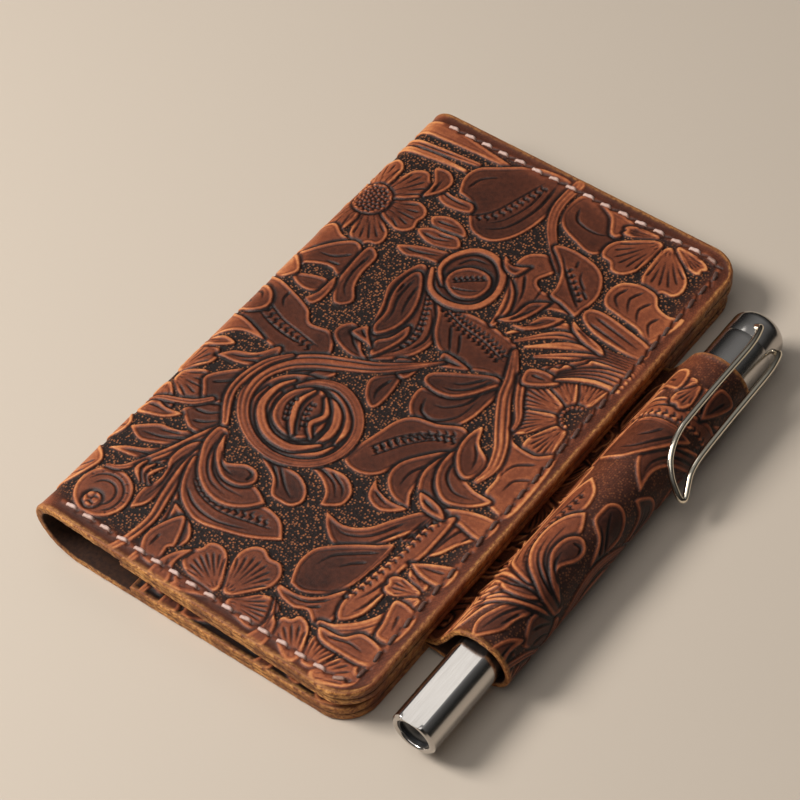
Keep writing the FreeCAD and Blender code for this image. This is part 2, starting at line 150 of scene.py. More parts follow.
class Relief:
    """A height map, in millimetres below the leather's face, drawn shape by shape."""

    def __init__(self, x0, x1, y0, y1):
        self.x0, self.y0 = x0, y0
        self.x = np.arange(x0, x1 + STEP / 2, STEP)
        self.y = np.arange(y0, y1 + STEP / 2, STEP)
        self.h = np.full((len(self.y), len(self.x)), -GROUND)
        self.ground = np.ones_like(self.h)

    def window(self, curve, pad):
        """The part of the map within pad of a curve, as slices and coordinates."""
        low = np.floor((curve.min(0) - pad - (self.x0, self.y0)) / STEP).astype(int)
        high = np.ceil((curve.max(0) + pad - (self.x0, self.y0)) / STEP).astype(int) + 1
        i = slice(max(low[1], 0), max(min(high[1], len(self.y)), 0))
        j = slice(max(low[0], 0), max(min(high[0], len(self.x)), 0))
        x, y = np.meshgrid(self.x[j], self.y[i])
        return (i, j), x, y

    @staticmethod
    def distance(curve, x, y, closed=False):
        """Distance to a curve, the share of its length at the nearest point, and inside or not."""
        ends = np.vstack([curve, curve[:1]]) if closed else curve
        steps = np.hypot(*np.diff(ends, axis=0).T)
        along = np.concatenate([[0], np.cumsum(steps)]) / max(steps.sum(), 1e-9)
        best = np.full(x.shape, 1e9)
        share = np.zeros(x.shape)
        inside = np.zeros(x.shape, bool)
        for k, (a, b) in enumerate(zip(ends, ends[1:])):
            d = b - a
            t = np.clip(((x - a[0]) * d[0] + (y - a[1]) * d[1]) / max(d @ d, 1e-12), 0, 1)
            gap = np.hypot(x - a[0] - t * d[0], y - a[1] - t * d[1])
            near = gap < best
            best = np.where(near, gap, best)
            share = np.where(near, along[k] + t * (along[k + 1] - along[k]), share)
            if closed and abs(d[1]) > 1e-12:
                crosses = (a[1] > y) != (b[1] > y)
                inside ^= crosses & (x < a[0] + (y - a[1]) * d[0] / d[1])
        return best, share, inside

    def lay(self, place, d, top):
        """Put raised work where d, the distance inside its outline, is positive."""
        h = self.h[place]
        pressed = -GROUND + (h + GROUND) * smooth(-d / PRESS)
        self.h[place] = np.where(d > 0, top, np.minimum(h, pressed))
        self.ground[place] = np.where(d > 0, 0, self.ground[place])

    @staticmethod
    def raised(d, dish):
        """Height inside an outline: a rolled rim, then a shallow dish."""
        rim = -GROUND * (1 - np.sqrt(np.clip(1 - (1 - np.clip(d / ROLL, 0, 1)) ** 2, 0, 1)))
        echo = 0.13 * np.exp(-((d - 1.2) / 0.2) ** 2)
        return rim - echo - dish * (1 - np.exp(-np.clip(d - ROLL * 0.9, 0, None) / 0.9))

    def lobe(self, points, dish=0.26, cuts=()):
        """A raised petal or leaf with a rounded rim, and any cuts on it."""
        curve = trace(points, closed=True)
        place, x, y = self.window(curve, PRESS)
        gap, _, inside = self.distance(curve, x, y, closed=True)
        d = np.where(inside, gap, -gap)
        self.lay(place, d, self.raised(d, dish))
        for cut in cuts:
            self.cut(cut)

    def stem(self, points, widths, grooves=1):
        """A raised band along a line, with its half-widths, and grooves along it."""
        curve = trace(points)
        place, x, y = self.window(curve, PRESS + max(widths))
        gap, share, _ = self.distance(curve, x, y)
        half = np.interp(share, np.linspace(0, 1, len(widths)), widths)
        d = half - gap
        top = self.raised(d, 0.0)
        if grooves == 1:
            top -= 0.26 * np.exp(-(gap / 0.26) ** 2)
        if grooves == 2:
            top -= 0.24 * np.exp(-((gap - half * 0.45) / 0.22) ** 2)
        self.lay(place, d, top)

    def cut(self, points, width=0.42, depth=0.36, taper=0.35):
        """A knife or flute cut that swells at its start and thins to its end."""
        curve = trace(points)
        place, x, y = self.window(curve, 3 * width)
        gap, share, _ = self.distance(curve, x, y)
        swell = np.clip(share / 0.12, 0.25, 1) * np.clip((1 - share) / (1 - taper), 0.0, 1) ** 0.6
        half = width * (0.45 + 0.55 * swell)
        groove = depth * swell * np.clip(1 - (gap / half) ** 2, 0, 1) ** 1.4
        lip = 0.07 * swell * np.exp(-((gap - 1.5 * half) / (0.6 * half)) ** 2)
        raised_here = 1 - self.ground[place]
        self.h[place] = np.maximum(self.h[place] + (lip - groove) * raised_here, -GROUND - 0.25)

    def teeth(self, points, reach, pitch, side):
        """A serrated vein: a fine line with a row of small hooked cuts on one side."""
        reach, pitch = TEETH_SCALE * reach, TEETH_SCALE * pitch
        curve = trace(points)
        self.cut(points, 0.3, 0.36, taper=0.9)
        steps = np.hypot(*np.diff(curve, axis=0).T)
        along = np.concatenate([[0], np.cumsum(steps)])
        for s in np.arange(pitch * 0.7, along[-1] - pitch * 0.4, pitch):
            p = np.array([np.interp(s, along, curve[:, k]) for k in (0, 1)])
            q = np.array([np.interp(s + 0.2, along, curve[:, k]) for k in (0, 1)])
            t = (q - p) / max(np.hypot(*(q - p)), 1e-9)
            n = np.array([-t[1], t[0]]) * side
            size = reach * min(1, 0.5 + 2.2 * (1 - s / along[-1]))
            self.cut([p + n * 0.15, p + n * 0.45 * size + t * 0.7, p + n * 0.6 * size - t * 0.1,
                      p + n * size + t * 0.6], 0.36, 0.40, taper=0.7)

    def seeds(self, cx, cy, radius, bead=0.72):
        """A round flower centre filled with beads."""
        ring = np.arange(0, 2 * math.pi, math.pi / 12)
        self.lobe(np.c_[cx + radius * np.cos(ring), cy + radius * np.sin(ring)], 0.1)
        count = int((radius / bead) ** 2 * 0.92)
        for k in range(count):
            r = radius * 0.9 * math.sqrt((k + 0.5) / count)
            a = k * 2.39996
            p = np.array([[cx + r * math.cos(a), cy + r * math.sin(a)]])
            place, x, y = self.window(p, 1.6 * bead)
            gap = np.hypot(x - p[0, 0], y - p[0, 1])
            ring_cut = 0.30 * np.exp(-((gap - bead * 0.92) / 0.2) ** 2)
            self.h[place] -= ring_cut

    def petal(self, cx, cy, a0, a1, start, length, flutes=5):
        """A broad petal between two directions, with a wavy end and flutes that run in from its rim."""
        a0, a1 = math.radians(a0), math.radians(a1)
        shape = ((0.02, 0.0), (0.03, 0.58), (0.10, 0.80), (0.22, 0.94), (0.36, 1.0), (0.50, 0.93),
                 (0.64, 1.0),
                 (0.78, 0.95), (0.90, 0.80), (0.97, 0.58), (0.98, 0.0))

        def at(share, out):
            a = a0 + (a1 - a0) * share
            r = start + (length - start) * out
            return cx + r * math.cos(a), cy + r * math.sin(a)

        self.lobe([at(*p) for p in shape], 0.20)
        for k in range(flutes):
            share = (k + 0.7) / (flutes + 0.4)
            far = 0.80 - 0.9 * (share - 0.5) ** 2
            self.cut([at(share, far), at(share * 0.9 + 0.05, far * 0.7),
                      at(share * 0.8 + 0.1, 0.22 + 0.14 * (k % 2))], 0.34, 0.30)

    def flower(self, cx, cy, start, petals, centre_radius=0.0, flutes=5):
        """Adjoining petals given as (first direction, last direction, length), and a beaded centre."""
        for a0, a1, length in petals:
            self.petal(cx, cy, a0, a1, start, length, flutes)
        if centre_radius:
            self.seeds(cx, cy, centre_radius)
        for k in range(28):
            a = k * math.pi / 14 + 0.1
            r0, r1 = start * 1.08, start * 1.7
            self.cut([(cx + r0 * math.cos(a), cy + r0 * math.sin(a)),
                      (cx + r1 * math.cos(a), cy + r1 * math.sin(a))], 0.2, 0.2)

    def matting(self):
        """Beaded background between the raised shapes."""
        pitch = 0.72
        x, y = np.meshgrid(self.x, self.y)
        wander_x = 0.22 * np.sin(0.9 * y + 1.3 * np.sin(0.37 * x))
        wander_y = 0.22 * np.sin(0.8 * x + 1.1 * np.sin(0.41 * y))
        u, v = (x + wander_x) / pitch, (y + wander_y) / (pitch * 0.87)
        u = u + 0.5 * (np.floor(v) % 2)
        bead = np.cos(math.pi * (u - np.floor(u) - 0.5)) * np.cos(math.pi * (v - np.floor(v) - 0.5))
        self.h += self.ground * (0.17 * np.clip(bead, 0, 1) - 0.09)


def blurred(a, reach):
    """A soft local average: three box passes each way."""
    k = max(int(reach / STEP), 1)
    for _ in range(3):
        for axis in (0, 1):
            pad = [(0, 0), (0, 0)]
            pad[axis] = (k + 1, k)
            c = np.cumsum(np.pad(a, pad, mode="edge"), axis=axis)
            hi = np.take(c, range(2 * k + 1, c.shape[axis]), axis=axis)
            lo = np.take(c, range(0, c.shape[axis] - 2 * k - 1), axis=axis)
            a = (hi - lo) / (2 * k + 1)
    return a


def tooling():
    """The floral design of the front, bottom-most shapes first."""
    r = Relief(-4, 98, -2, HEIGHT + 2)
    lobe, stem, cut, teeth, flower = r.lobe, r.stem, r.cut, r.teeth, r.flower

    # upper left: long blades, the big curled leaf and its vein
    lobe([(-4, 147), (8, 148.5), (22, 147), (34, 145.5), (34, 144.5), (20, 144), (6, 143), (-4, 143)], 0.1)
    stem([(-4, 139), (6, 139.3), (14, 140.3), (23, 141.5)], (1.5, 1.4, 1.2, 0.8))
    stem([(-4, 136.6), (6, 136.6), (14, 137.6), (22.5, 138)], (1.2, 1.2, 1.1, 0.6), 0)
    lobe([(45, 150), (36, 149), (28, 144), (23.5, 140.5), (22.5, 136), (24.5, 131), (24.5, 131),
          (29, 130), (31, 126.5), (35, 122.5), (41, 122.5), (45.5, 128), (47.5, 137), (47, 147)], 0.34)
    teeth([(40.5, 146), (38, 138), (35.5, 131), (31.5, 126.5)], 2.2, 1.4, 1)
    cut([(43.5, 147), (44, 138), (41.5, 129), (37, 125)], 0.5)
    cut([(41.5, 145), (41.8, 138), (39.5, 130.5), (36.5, 127)], 0.35)
    cut([(25.5, 134), (26.5, 138), (30, 141)], 0.4)
    lobe([(20, 130.5), (24, 129.5), (30, 130), (31, 127), (25, 125.5), (21, 127)], 0.15,
         [[(21, 129), (26, 128.3), (30, 128.5)]])
    lobe([(24, 121), (28, 123.5), (33, 122.5), (35, 120), (30, 119), (26, 118.5)], 0.2,
         [[(26, 120.5), (32, 121.5)]])
    lobe([(23.5, 115.5), (26, 118), (30, 118.5), (34, 119), (36, 116), (31, 113.5), (27, 113.5)], 0.2,
         [[(25.5, 115.5), (29, 115.5), (33, 117)], [(29, 117), (33, 118)]])
    lobe([(22.5, 108.5), (26, 111), (31, 113), (36, 114), (36, 110), (30, 108.5), (26, 107)], 0.2,
         [[(25, 109), (29, 110), (34, 112)]])

    # daisy by the spine
    flower(7.5, 117.5, 5.4, [(-80, -30, 16), (-28, 30, 15.5), (32, 80, 16.5), (83, 140, 15), (142, 205, 14),
                             (207, 278, 15)], 5.3, 5)

    # leaves under the daisy
    lobe([(0, 104), (5, 106), (9, 104), (13, 103), (10, 99), (5, 95), (2, 94.5), (-3, 95), (-3, 101)], 0.2,
         [[(11, 102), (8, 98), (4, 96.5)]])
    lobe([(10, 101.5), (14, 104), (17.5, 101), (17, 93), (14, 93.5), (11, 93), (7, 90.5), (8.5, 88.2),
          (8.5, 88.2),
          (13, 90), (16, 90), (16, 86), (12, 84.5), (7, 86.5), (2, 93), (5, 95.5)], 0.28,
         [[(15.5, 100), (12, 97), (8, 96)], [(15, 95.5), (11, 94.8)], [(15.5, 92), (11, 91), (9, 89.5)]])
    lobe([(-3, 93), (2, 93.5), (6, 91), (8, 88), (5, 84.5), (0, 85), (-3, 86)], 0.12)
    lobe([(17, 104), (21, 103), (21.3, 97), (22.5, 92.5), (25, 89), (24.3, 86.5), (21.5, 85.2), (19, 88),
          (17.5, 92)], 0.26,
         [[(19.3, 102), (19, 96), (20.2, 91), (22.5, 88.5)]])
    lobe([(16.5, 92), (16, 86), (14.5, 82.5), (17, 81.8), (18.5, 84.5), (18.3, 89)], 0.2)

    # crimped leaf from the spine to the main stem
    lobe([(31, 71.5), (27, 77.8), (21, 77.3), (17.5, 80.5), (10, 83), (4, 84.2), (-3, 85), (-3, 72),
          (4, 71.5), (1, 67),
          (6, 66.5), (12, 67), (19, 66), (24, 66.5)], 0.3)
    teeth([(27, 72.5), (20, 73.5), (14, 74.5), (8, 77)], 2.3, 1.5, 1)
    cut([(24, 71), (17, 71), (10, 72.5), (5, 75)], 0.4)
    cut([(10.5, 82), (10.5, 79.5), (12, 77.5)], 0.45)
    lobe([(-3, 80.5), (2, 81.5), (7, 79.5), (9, 76), (7.5, 73), (4, 71.5), (-3, 73)], 0.25,
         [[(1, 79), (4, 78.5), (6, 76.5)], [(0, 76), (3.5, 75)]])
    lobe([(-3, 71.5), (3, 70), (9, 69), (15, 66.8), (9, 65.8), (4, 62.5), (1, 60), (-3, 60)], 0.15)

    # left edge flower
    flower(2.0, 46.5, 3.0, [(44, 102, 13.5), (-32, 40, 12), (-92, -36, 12.5)], 0, 5)
    lobe([(8.3, 56.8), (8.3, 56.8), (11, 60.2), (16, 62.8), (19.5, 67.5), (21, 64), (18.5, 59.5),
          (14, 57.5)], 0.22,
         [[(18, 63), (15, 60.5), (11, 58.6)], [(18, 61), (14.5, 59)]])

    # big compound leaf above the main stem
    lobe([(31, 107), (29.2, 102), (28.8, 97), (31, 92), (32.8, 86.5), (35, 81.5), (39.5, 76), (39.5, 76),
          (43.5, 79),
          (47.5, 83.5), (49, 89), (47.5, 94), (43, 99), (38, 103.5), (34, 107)], 0.2,
         [[(45.5, 84), (46.8, 89), (44.5, 94.5), (40, 99)], [(42, 80.5), (44.5, 85.5), (44.6, 90),
                                                             (41.5, 95)]])
    lobe([(31.5, 104), (33.8, 104.5), (37.5, 99), (39.3, 93), (38.8, 87.5), (36, 83.5), (33.8, 85),
          (33.5, 90), (31.5, 95),
          (30.8, 99.5)], 0.28,
         [[(33, 102), (33.2, 96), (35, 91), (35.5, 87)], [(35, 101), (36, 95), (37.5, 91)],
          [(32, 100), (32, 96)]])
    teeth([(37.5, 101.5), (41, 95), (43, 89), (42.5, 83)], 1.5, 1.2, 1)
    lobe([(39, 77.5), (41.5, 82), (42.6, 87), (41, 90), (39.5, 85), (37, 81.5)], 0.3)
    lobe([(27, 80), (28.5, 82.7), (31, 83.2), (33.5, 81), (36.5, 77.6), (40, 75.8), (35, 74.8),
          (30.5, 75.8), (27.6, 77.6)], 0.3,
         [[(30.5, 81.5), (33, 78.5), (36.5, 76.5)]])

    # dark scaled leaf and second rose above it
    lobe([(70, 94), (66, 99.5), (60, 101), (53, 101.5), (47, 101), (42, 102.5), (38.5, 103), (44, 97),
          (47, 91.8), (50.5, 88.4),
          (53.5, 87.6), (55.3, 84.2), (57, 88), (60, 87), (64.5, 88.8), (68.5, 89.3)], 0.24,
         [[(49, 96), (52, 91.5), (54.5, 88)], [(52.5, 95), (55, 91), (56, 88.8)]])
    teeth([(66, 94), (59, 96.2), (51, 97.3), (44, 99.5)], 2.0, 1.1, -1)
    teeth([(66, 94), (59, 96.2), (51, 97.3), (44, 99.5)], 1.6, 1.3, 1)
    lobe([(52, 117), (50, 121), (51.5, 125), (56, 127), (60, 124), (58, 119), (60.5, 117), (62.5, 117.5),
          (64, 121.5),
          (66.5, 117), (72, 115), (66, 113), (63, 110.5), (58.5, 105), (56, 109)], 0.15,
         [[(54, 119), (57, 114), (58.5, 109)], [(60, 121), (60.5, 116), (61, 112)]])
    stem([(51, 116), (54.5, 112), (56.5, 107), (57, 102)], (0.5, 1.3, 1.5, 0.9))
    ring = [(43.5 + 8.2 * math.cos(a), 110 + 8.6 * math.sin(a)) for a in np.linspace(0, 2 * math.pi,
                                                                                     15)[:-1]]
    lobe(ring, 0.3)
    stem([(34.5, 107.5), (38, 102.2), (44, 100.7), (50, 103.2), (52.2, 109), (50.3, 115), (45.5, 118.8),
          (40, 118.3),
          (36.2, 113.5), (36, 108.5), (39.5, 105)], (0.7, 0.9, 1.0, 1.0, 1.0, 1.0, 0.9, 0.8, 0.5), 0)
    lobe([(39.5, 106), (39.3, 110), (42.5, 113.3), (47.5, 113.5), (49.8, 110), (48.5, 105.5), (44, 103.6)],
         0.2)
    teeth([(41, 106.5), (44, 109.2), (48, 112)], 1.3, 1.0, 1)
    cut([(41.5, 105), (45.5, 106.5), (48.8, 108.5)], 0.3)
    cut([(38.8, 112), (41, 115.5), (46, 116.3)], 0.35)

    # top: stems and lobes that hang from the edge
    lobe([(51, 148), (49.5, 141), (52.5, 136.3), (58, 134), (63, 132.8), (66, 135.5), (66.5, 141),
          (64, 146), (58, 148)], 0.34,
         [[(52.5, 144), (54.5, 140.2), (60, 139.2), (64, 140.5)]])
    lobe([(56, 148), (60.5, 145.5), (63.5, 141), (66, 141.5), (67, 147)], 0.2)
    stem([(48, 150), (47.8, 142), (49.8, 136), (54, 130.5), (59, 125.5), (63, 122)],
         (1.5, 1.5, 1.4, 1.3, 1.0, 0.5), 2)
    lobe([(57, 131.6), (62, 131.8), (67.5, 130.6), (71, 127.6), (73, 122.5), (72.3, 117), (71.8, 114.4),
          (71.8, 114.4), (67, 116),
          (63, 116.8), (62.5, 120), (60.6, 124.5), (57.5, 127.5), (54.5, 130)], 0.24,
         [[(71, 117), (66, 121), (61.5, 125), (58, 129)], [(69, 122.5), (66, 125), (65, 127.5)],
          [(71, 120.5), (69, 122), (67.5, 122.5)], [(63, 127.5), (62.4, 129.6)]])
    teeth([(60.5, 126.3), (65, 122.5), (70, 118.5)], 1.4, 1.5, 1)

    # top right flower, crescents and bud
    flower(77, 147.5, 3.4, [(184, 210, 12), (212, 267, 17.5), (270, 324, 18), (326, 356, 13)], 0, 6)
    lobe([(91, 117.5), (86, 119.6), (80, 120.5), (75.5, 121.5), (73.6, 125), (74.6, 129.5), (79, 131.8),
          (84, 131.3), (86.5, 128.5),
          (90, 127.5), (94, 128)], 0.2,
         [[(77.2, 129), (76.2, 125.2), (79, 122.4)], [(81, 130.2), (79.4, 126.5), (81.5, 122.5)],
          [(84.5, 128.5), (83, 125), (85, 121)], [(88.5, 125.5), (87.5, 122.5), (90, 119)]])
    lobe([(92, 116.8), (84, 118.8), (77, 119.7), (73.2, 118.6), (73, 115.8), (76.5, 113.4), (82, 112.2),
          (92, 112.3)], 0.24,
         [[(76, 117.3), (82, 116.3), (90, 114.8)], [(75.5, 115), (81, 114.2), (88, 113.2)]])

    # long blades from the fore-edge
    for k, (tip, bend, half) in enumerate((((61.5, 101.5), (70, 110.5), 1.3), ((64.5, 100.8), (73, 108.5),
                                                                               1.3),
                                           ((67.5, 100.5), (76, 106.6), 1.25), ((71, 99.5), (78.5, 104.6),
                                                                                1.2),
                                           ((74.5, 97.5), (81, 103.2), 1.15),
                                           ((78.5, 99), (84, 104.8), 1.1))):
        stem([(93, 111.4 - 0.8 * k), (84, 109.9 - 0.9 * k), bend, tip], (0.9, half, half, 0.5),
             1 if k % 2 else 0)

    # flower by the fore-edge
    flower(89.5, 90, 4.6, [(78, 120, 14.5), (121, 158, 16), (160, 200, 17.5), (201, 238, 16.5),
                           (240, 280, 15.5)], 0, 6)
    for k in range(9):
        a = math.radians(100 + 20 * k)
        r.seeds(89.5 + 3.3 * math.cos(a), 90 + 3.3 * math.sin(a), 0.55, 0.9)

    # leaf behind the blades at the fore-edge, right of the ribbon
    lobe([(93, 78), (88, 76), (82, 76.5), (78.5, 80), (81, 72), (84.5, 66), (85, 61), (90, 58), (94, 60)],
         0.2,
         [[(90, 74), (86, 71), (85, 66.5)], [(92, 70), (88.5, 67.5), (88, 63.5)]])

    # double lobe left of the ribbon
    lobe([(70.5, 88), (70.8, 81), (69.8, 75), (67, 70.6), (62.5, 68.2), (58, 68.6), (55, 72), (54.8, 77),
          (60, 78.5), (65, 84)], 0.36,
         [[(57.5, 75), (59, 71.5), (63, 71), (67, 75), (68, 81)], [(67.5, 85), (66.5, 79.5), (63, 75.5),
                                                                   (60, 74.5)]])
    lobe([(70.2, 88.6), (67, 89.3), (62.5, 87.2), (57, 84), (53.7, 81.4), (54, 78.6), (58, 77.6),
          (62.5, 78.6), (66.2, 82.2),
          (68.6, 86)], 0.32, [[(67.5, 87.8), (64.8, 83.4), (61.5, 80.6), (58.5, 79.8)],
                              [(66, 87.5), (62.5, 83.5), (60, 82)]])

    # crimped leaf at the middle and the fan of lobes beside it
    lobe([(73.5, 71), (70, 73.2), (64.5, 70.6), (59, 69.2), (56, 66), (54.3, 60), (52.8, 54), (53, 50),
          (57.5, 48.8), (62, 51),
          (65, 56.5), (68.5, 61.5), (72.5, 65.5)], 0.3)
    teeth([(71.5, 69.2), (66, 66), (61.5, 61), (57.5, 54.5)], 2.3, 1.35, -1)
    teeth([(71.5, 70.2), (65, 67.6), (59.6, 63), (55.4, 56)], 1.7, 1.35, 1)
    for outline, flute in (
            ([(72, 66), (66, 60), (63.8, 55.5), (64.6, 51.4), (68.4, 48.2), (73.5, 47.8), (71.5, 52),
              (71.6, 58)],
             [(70.5, 61), (67.8, 56), (68, 51.5)]),
            ([(72.5, 66), (70, 59.5), (71.3, 54.2), (75, 50.6), (82, 50.3), (88.5, 53.5), (80.5, 54),
              (76, 57.5)],
             [(73, 62), (73.5, 57), (77.5, 53.3), (82, 52)]),
            ([(72.5, 67), (72, 61.5), (74.4, 56.6), (79, 53.8), (84.5, 55.6), (88, 60), (82.5, 60.5),
              (77, 62.8)],
             [(74, 64.5), (75.2, 60), (79, 57.3), (83.5, 57.8)])):
        lobe(outline, 0.3, [flute])
    lobe([(73.5, 76), (76, 71.5), (80.5, 68.5), (81, 64.2), (79, 61.6), (76, 62.6), (73, 66.5),
          (72, 71.5)], 0.32,
         [[(75, 71), (77.5, 68), (78.6, 64.5)]])
    stem([(66.5, 98), (70.3, 91.5), (72.6, 85.5), (77, 78.5), (80.6, 73), (82.4, 67.5), (81.6, 62.8)],
         (0.9, 1.6, 1.8, 1.9, 1.8, 1.6, 0.8), 2)
    stem([(72.2, 93), (75.6, 87), (78.8, 82.5), (79.6, 79.5)], (1.0, 1.1, 1.0, 0.5))

    # lower right: long leaf, hollow lobe, serrated rib and ribbon
    lobe([(86, 54), (83.8, 49), (83, 43.5), (83.6, 38.8), (83.6, 38.8), (86.8, 41.5), (89, 46), (91.5, 50),
          (93, 56)], 0.26,
         [[(88, 52.5), (86, 47), (85.4, 42)], [(90.5, 52), (88.6, 46.5)]])
    lobe([(93, 56), (86, 55.5), (78.5, 51.5), (75.5, 47), (77.5, 40), (83.5, 45), (84, 50.5), (92, 50)],
         0.16)
    lobe([(81, 52), (76.5, 48.8), (72.6, 43.6), (69.2, 38.6), (64.5, 36), (58.6, 36.8), (58.6, 36.8),
          (61.5, 33), (66, 30.4),
          (70.5, 32.2), (74.2, 35.8), (77.5, 41.5), (82, 48)], 0.3,
         [[(75.5, 44.5), (71.5, 37.5), (66.5, 34.2), (62.5, 34.5)], [(76.5, 42.5), (72.4, 35.6),
                                                                     (68.5, 32.6)]])
    lobe([(77.5, 38), (74, 36), (70, 33.4), (66, 30.3), (63, 27), (62.4, 22), (64.4, 16.8), (64.4, 16.8),
          (68, 16.4), (72, 18.4),
          (75, 21), (77, 28)], 0.38, [[(75.5, 34.5), (71.5, 31.5), (67.5, 28), (66, 24)],
                                      [(75, 31), (72.5, 29), (70.5, 26.5)]])
    lobe([(76.5, 23), (72.5, 18.2), (68, 15.8), (61, 15.4), (61, 15.4), (64.5, 13), (69, 12.2),
          (72.2, 13.4), (75, 11.8),
          (78, 13), (78.5, 18)], 0.22, [[(74.5, 18.5), (70.5, 15.2), (65.5, 14.4)], [(74, 16), (71, 13.8)]])
    lobe([(84, 52), (80, 46), (79.5, 38), (78, 30), (77, 20), (79.5, 15.5), (83, 20), (83.5, 28),
          (82.8, 34), (84.5, 40)], 0.14,
         [[(82, 32), (80.8, 26), (79.2, 22)], [(82.8, 27), (81.8, 22), (80.4, 18.4)]])
    teeth([(79.8, 50), (78.6, 41), (77.6, 31), (76, 20)], 2.2, 1.5, 1)
    cut([(79, 49), (77.8, 40), (76.8, 31), (75.5, 22)], 0.42)
    stem([(76.6, 12.6), (80.5, 13.2), (84.6, 16.4), (87.5, 21), (88.3, 26)], (0.9, 2.0, 2.1, 2.0, 1.4), 1)
    flower(91.5, 31.5, 2.2, [(120, 168, 8.5), (170, 216, 10), (218, 262, 8.5)], 0, 4)
    lobe([(93, 41), (88, 39.6), (82.8, 36.4), (82.8, 36.4), (87.5, 34.8), (93, 35.5)], 0.24,
         [[(91, 38.4), (86, 37)]])
    flower(80, -1.5, 4.6, [(20, 62, 15), (64, 106, 13.5), (108, 150, 15.5)], 0, 5)

    # bottom flower
    flower(54, 4.5, 3.0, [(-14, 43, 14.2), (46, 113, 16.2), (116, 176, 15.2), (178, 205, 12)], 0, 8)

    # bottom left: eye flower, buds, blades
    ring = [(13.4 + 7.2 * math.cos(a), 11.2 + 7.0 * math.sin(a)) for a in np.linspace(0, 2 * math.pi,
                                                                                      15)[:-1]]
    lobe(ring, 0.22)
    for reach in (5.2, 3.4):
        turn = np.radians(np.linspace(-60, 165, 8))
        cut([(13.2 + reach * math.cos(a), 10.8 + reach * math.sin(a)) for a in turn], 0.34, 0.3, 0.8)
    for k in range(9):
        a = math.radians(-40 + 24 * k)
        cut([(13.2 + 5.6 * math.cos(a), 10.8 + 5.6 * math.sin(a)), (13.2 + 6.4 * math.cos(a),
                                                                    10.8 + 6.4 * math.sin(a))],
            0.25, 0.25)
    r.seeds(12.6, 8.2, 2.2, 1.1)
    lobe([(-3, 22), (3, 21), (7, 18), (6, 13.5), (3, 9), (-3, 8)], 0.16, [[(5.4, 17), (3, 15), (-1, 14.5)],
                                                                          [(5, 13.6), (2, 11.6),
                                                                           (-1, 11.4)]])
    lobe([(-3, 34), (3, 32), (5, 29), (3, 25.5), (-3, 25)], 0.16, [[(3.6, 29), (0, 28.6)]])
    lobe([(5.4, 29), (5.4, 29), (11, 33.4), (16, 34.6), (22.5, 38.4), (20, 32), (15, 28.8), (10, 27)], 0.3,
         [[(19.5, 34), (14.5, 31), (9, 29.4)], [(17, 34), (12, 32)]])
    lobe([(5, 21.2), (5, 21.2), (9, 24.2), (14, 26.8), (18.4, 31), (22, 37), (21.5, 29), (18, 24.4),
          (12, 22.4)], 0.28,
         [[(19.8, 31.6), (15.5, 26), (10, 23.6)], [(20.6, 29.5), (16.5, 24.6)]])
    lobe([(12.4, 39.6), (12.4, 39.6), (15, 45), (18, 46.2), (21.2, 48.6), (23.6, 44), (23.4, 38.6),
          (18, 36.2)], 0.3,
         [[(14.6, 41.5), (18.5, 42.4), (21.8, 45.4)], [(16.6, 38.6), (19.6, 40), (22.4, 42.5)]])
    lobe([(10.5, 50.5), (15, 56), (18, 57.5), (19.5, 51), (21.5, 48.5), (17.5, 45.4), (14.5, 45),
          (12.5, 47)], 0.34,
         [[(13, 50), (16, 52.4), (18, 55.5)]])
    stem([(24, 42), (20.2, 33), (17.4, 27), (12.8, 19.5), (9, 17.4)], (1.0, 1.3, 1.2, 1.0, 0.5))
    lobe([(24.5, 36), (21, 33.5), (19.6, 28), (21.6, 22), (20.2, 16.6), (21.3, 11.2), (21.3, 11.2),
          (24, 14.4), (24.4, 19.6),
          (23.4, 25), (24.6, 31)], 0.26, [[(22.8, 31.5), (21.8, 27), (22.8, 21), (22.2, 15.5)]])
    stem([(25, 38), (24.6, 28), (26, 19), (27.6, 12), (26.8, 5), (25, 0)], (1.0, 1.6, 1.5, 1.4, 1.3, 0.9),
         1)
    stem([(26, 27), (29.3, 19), (31, 12), (31.6, 6), (31, 0)], (0.7, 1.2, 1.3, 1.2, 0.8), 1)

    # lower centre: crimped leaf, scroll and bud
    lobe([(24, 31), (26, 24.4), (29.8, 19.8), (36, 17.2), (43, 18.6), (50, 21), (56, 24.6), (56, 24.6),
          (52.6, 28.4), (49, 29.6),
          (45.4, 29.4), (40, 28), (33, 28), (28, 31.5)], 0.28)
    teeth([(27, 26.8), (32, 23.6), (39, 22.6), (47, 24.4), (52, 25.6)], 2.4, 1.45, 1)
    cut([(28, 23.6), (33, 20.6), (40, 20), (48, 22.6)], 0.42)
    lobe([(29, 18.6), (29, 18.6), (33, 17.4), (36.6, 15.6), (38.6, 12.6), (37.8, 9.8), (34.6, 9.6),
          (31.6, 12.2)], 0.3,
         [[(31.4, 16), (34, 14.8), (36.6, 11.6)], [(31.6, 14), (34, 11.4)]])
    lobe([(23.2, 41), (22.9, 36), (25, 31.6), (28.2, 27.4), (33, 24.6), (38.4, 24.2), (43, 26.4),
          (46.4, 30.2), (46.4, 30.2),
          (41, 32.6), (34, 30.6), (28.6, 35), (26.5, 40.5)], 0.22,
         [[(25.2, 37.5), (27.2, 32), (31.5, 27.8), (37, 26.6)], [(26.6, 36.4), (29.6, 31), (34.6, 28.4),
                                                                 (41, 28.6)]])
    lobe([(25.8, 40), (26.8, 35.6), (29.4, 32.4), (33.4, 30), (38, 30.4), (40.6, 33.2), (39, 36),
          (35.6, 36.2), (31, 34),
          (28, 37)], 0.34, [[(28, 36.5), (31, 32.8), (35, 31.8)], [(38.2, 32.6), (38.4, 34.6),
                                                                   (36.4, 35.2)]])

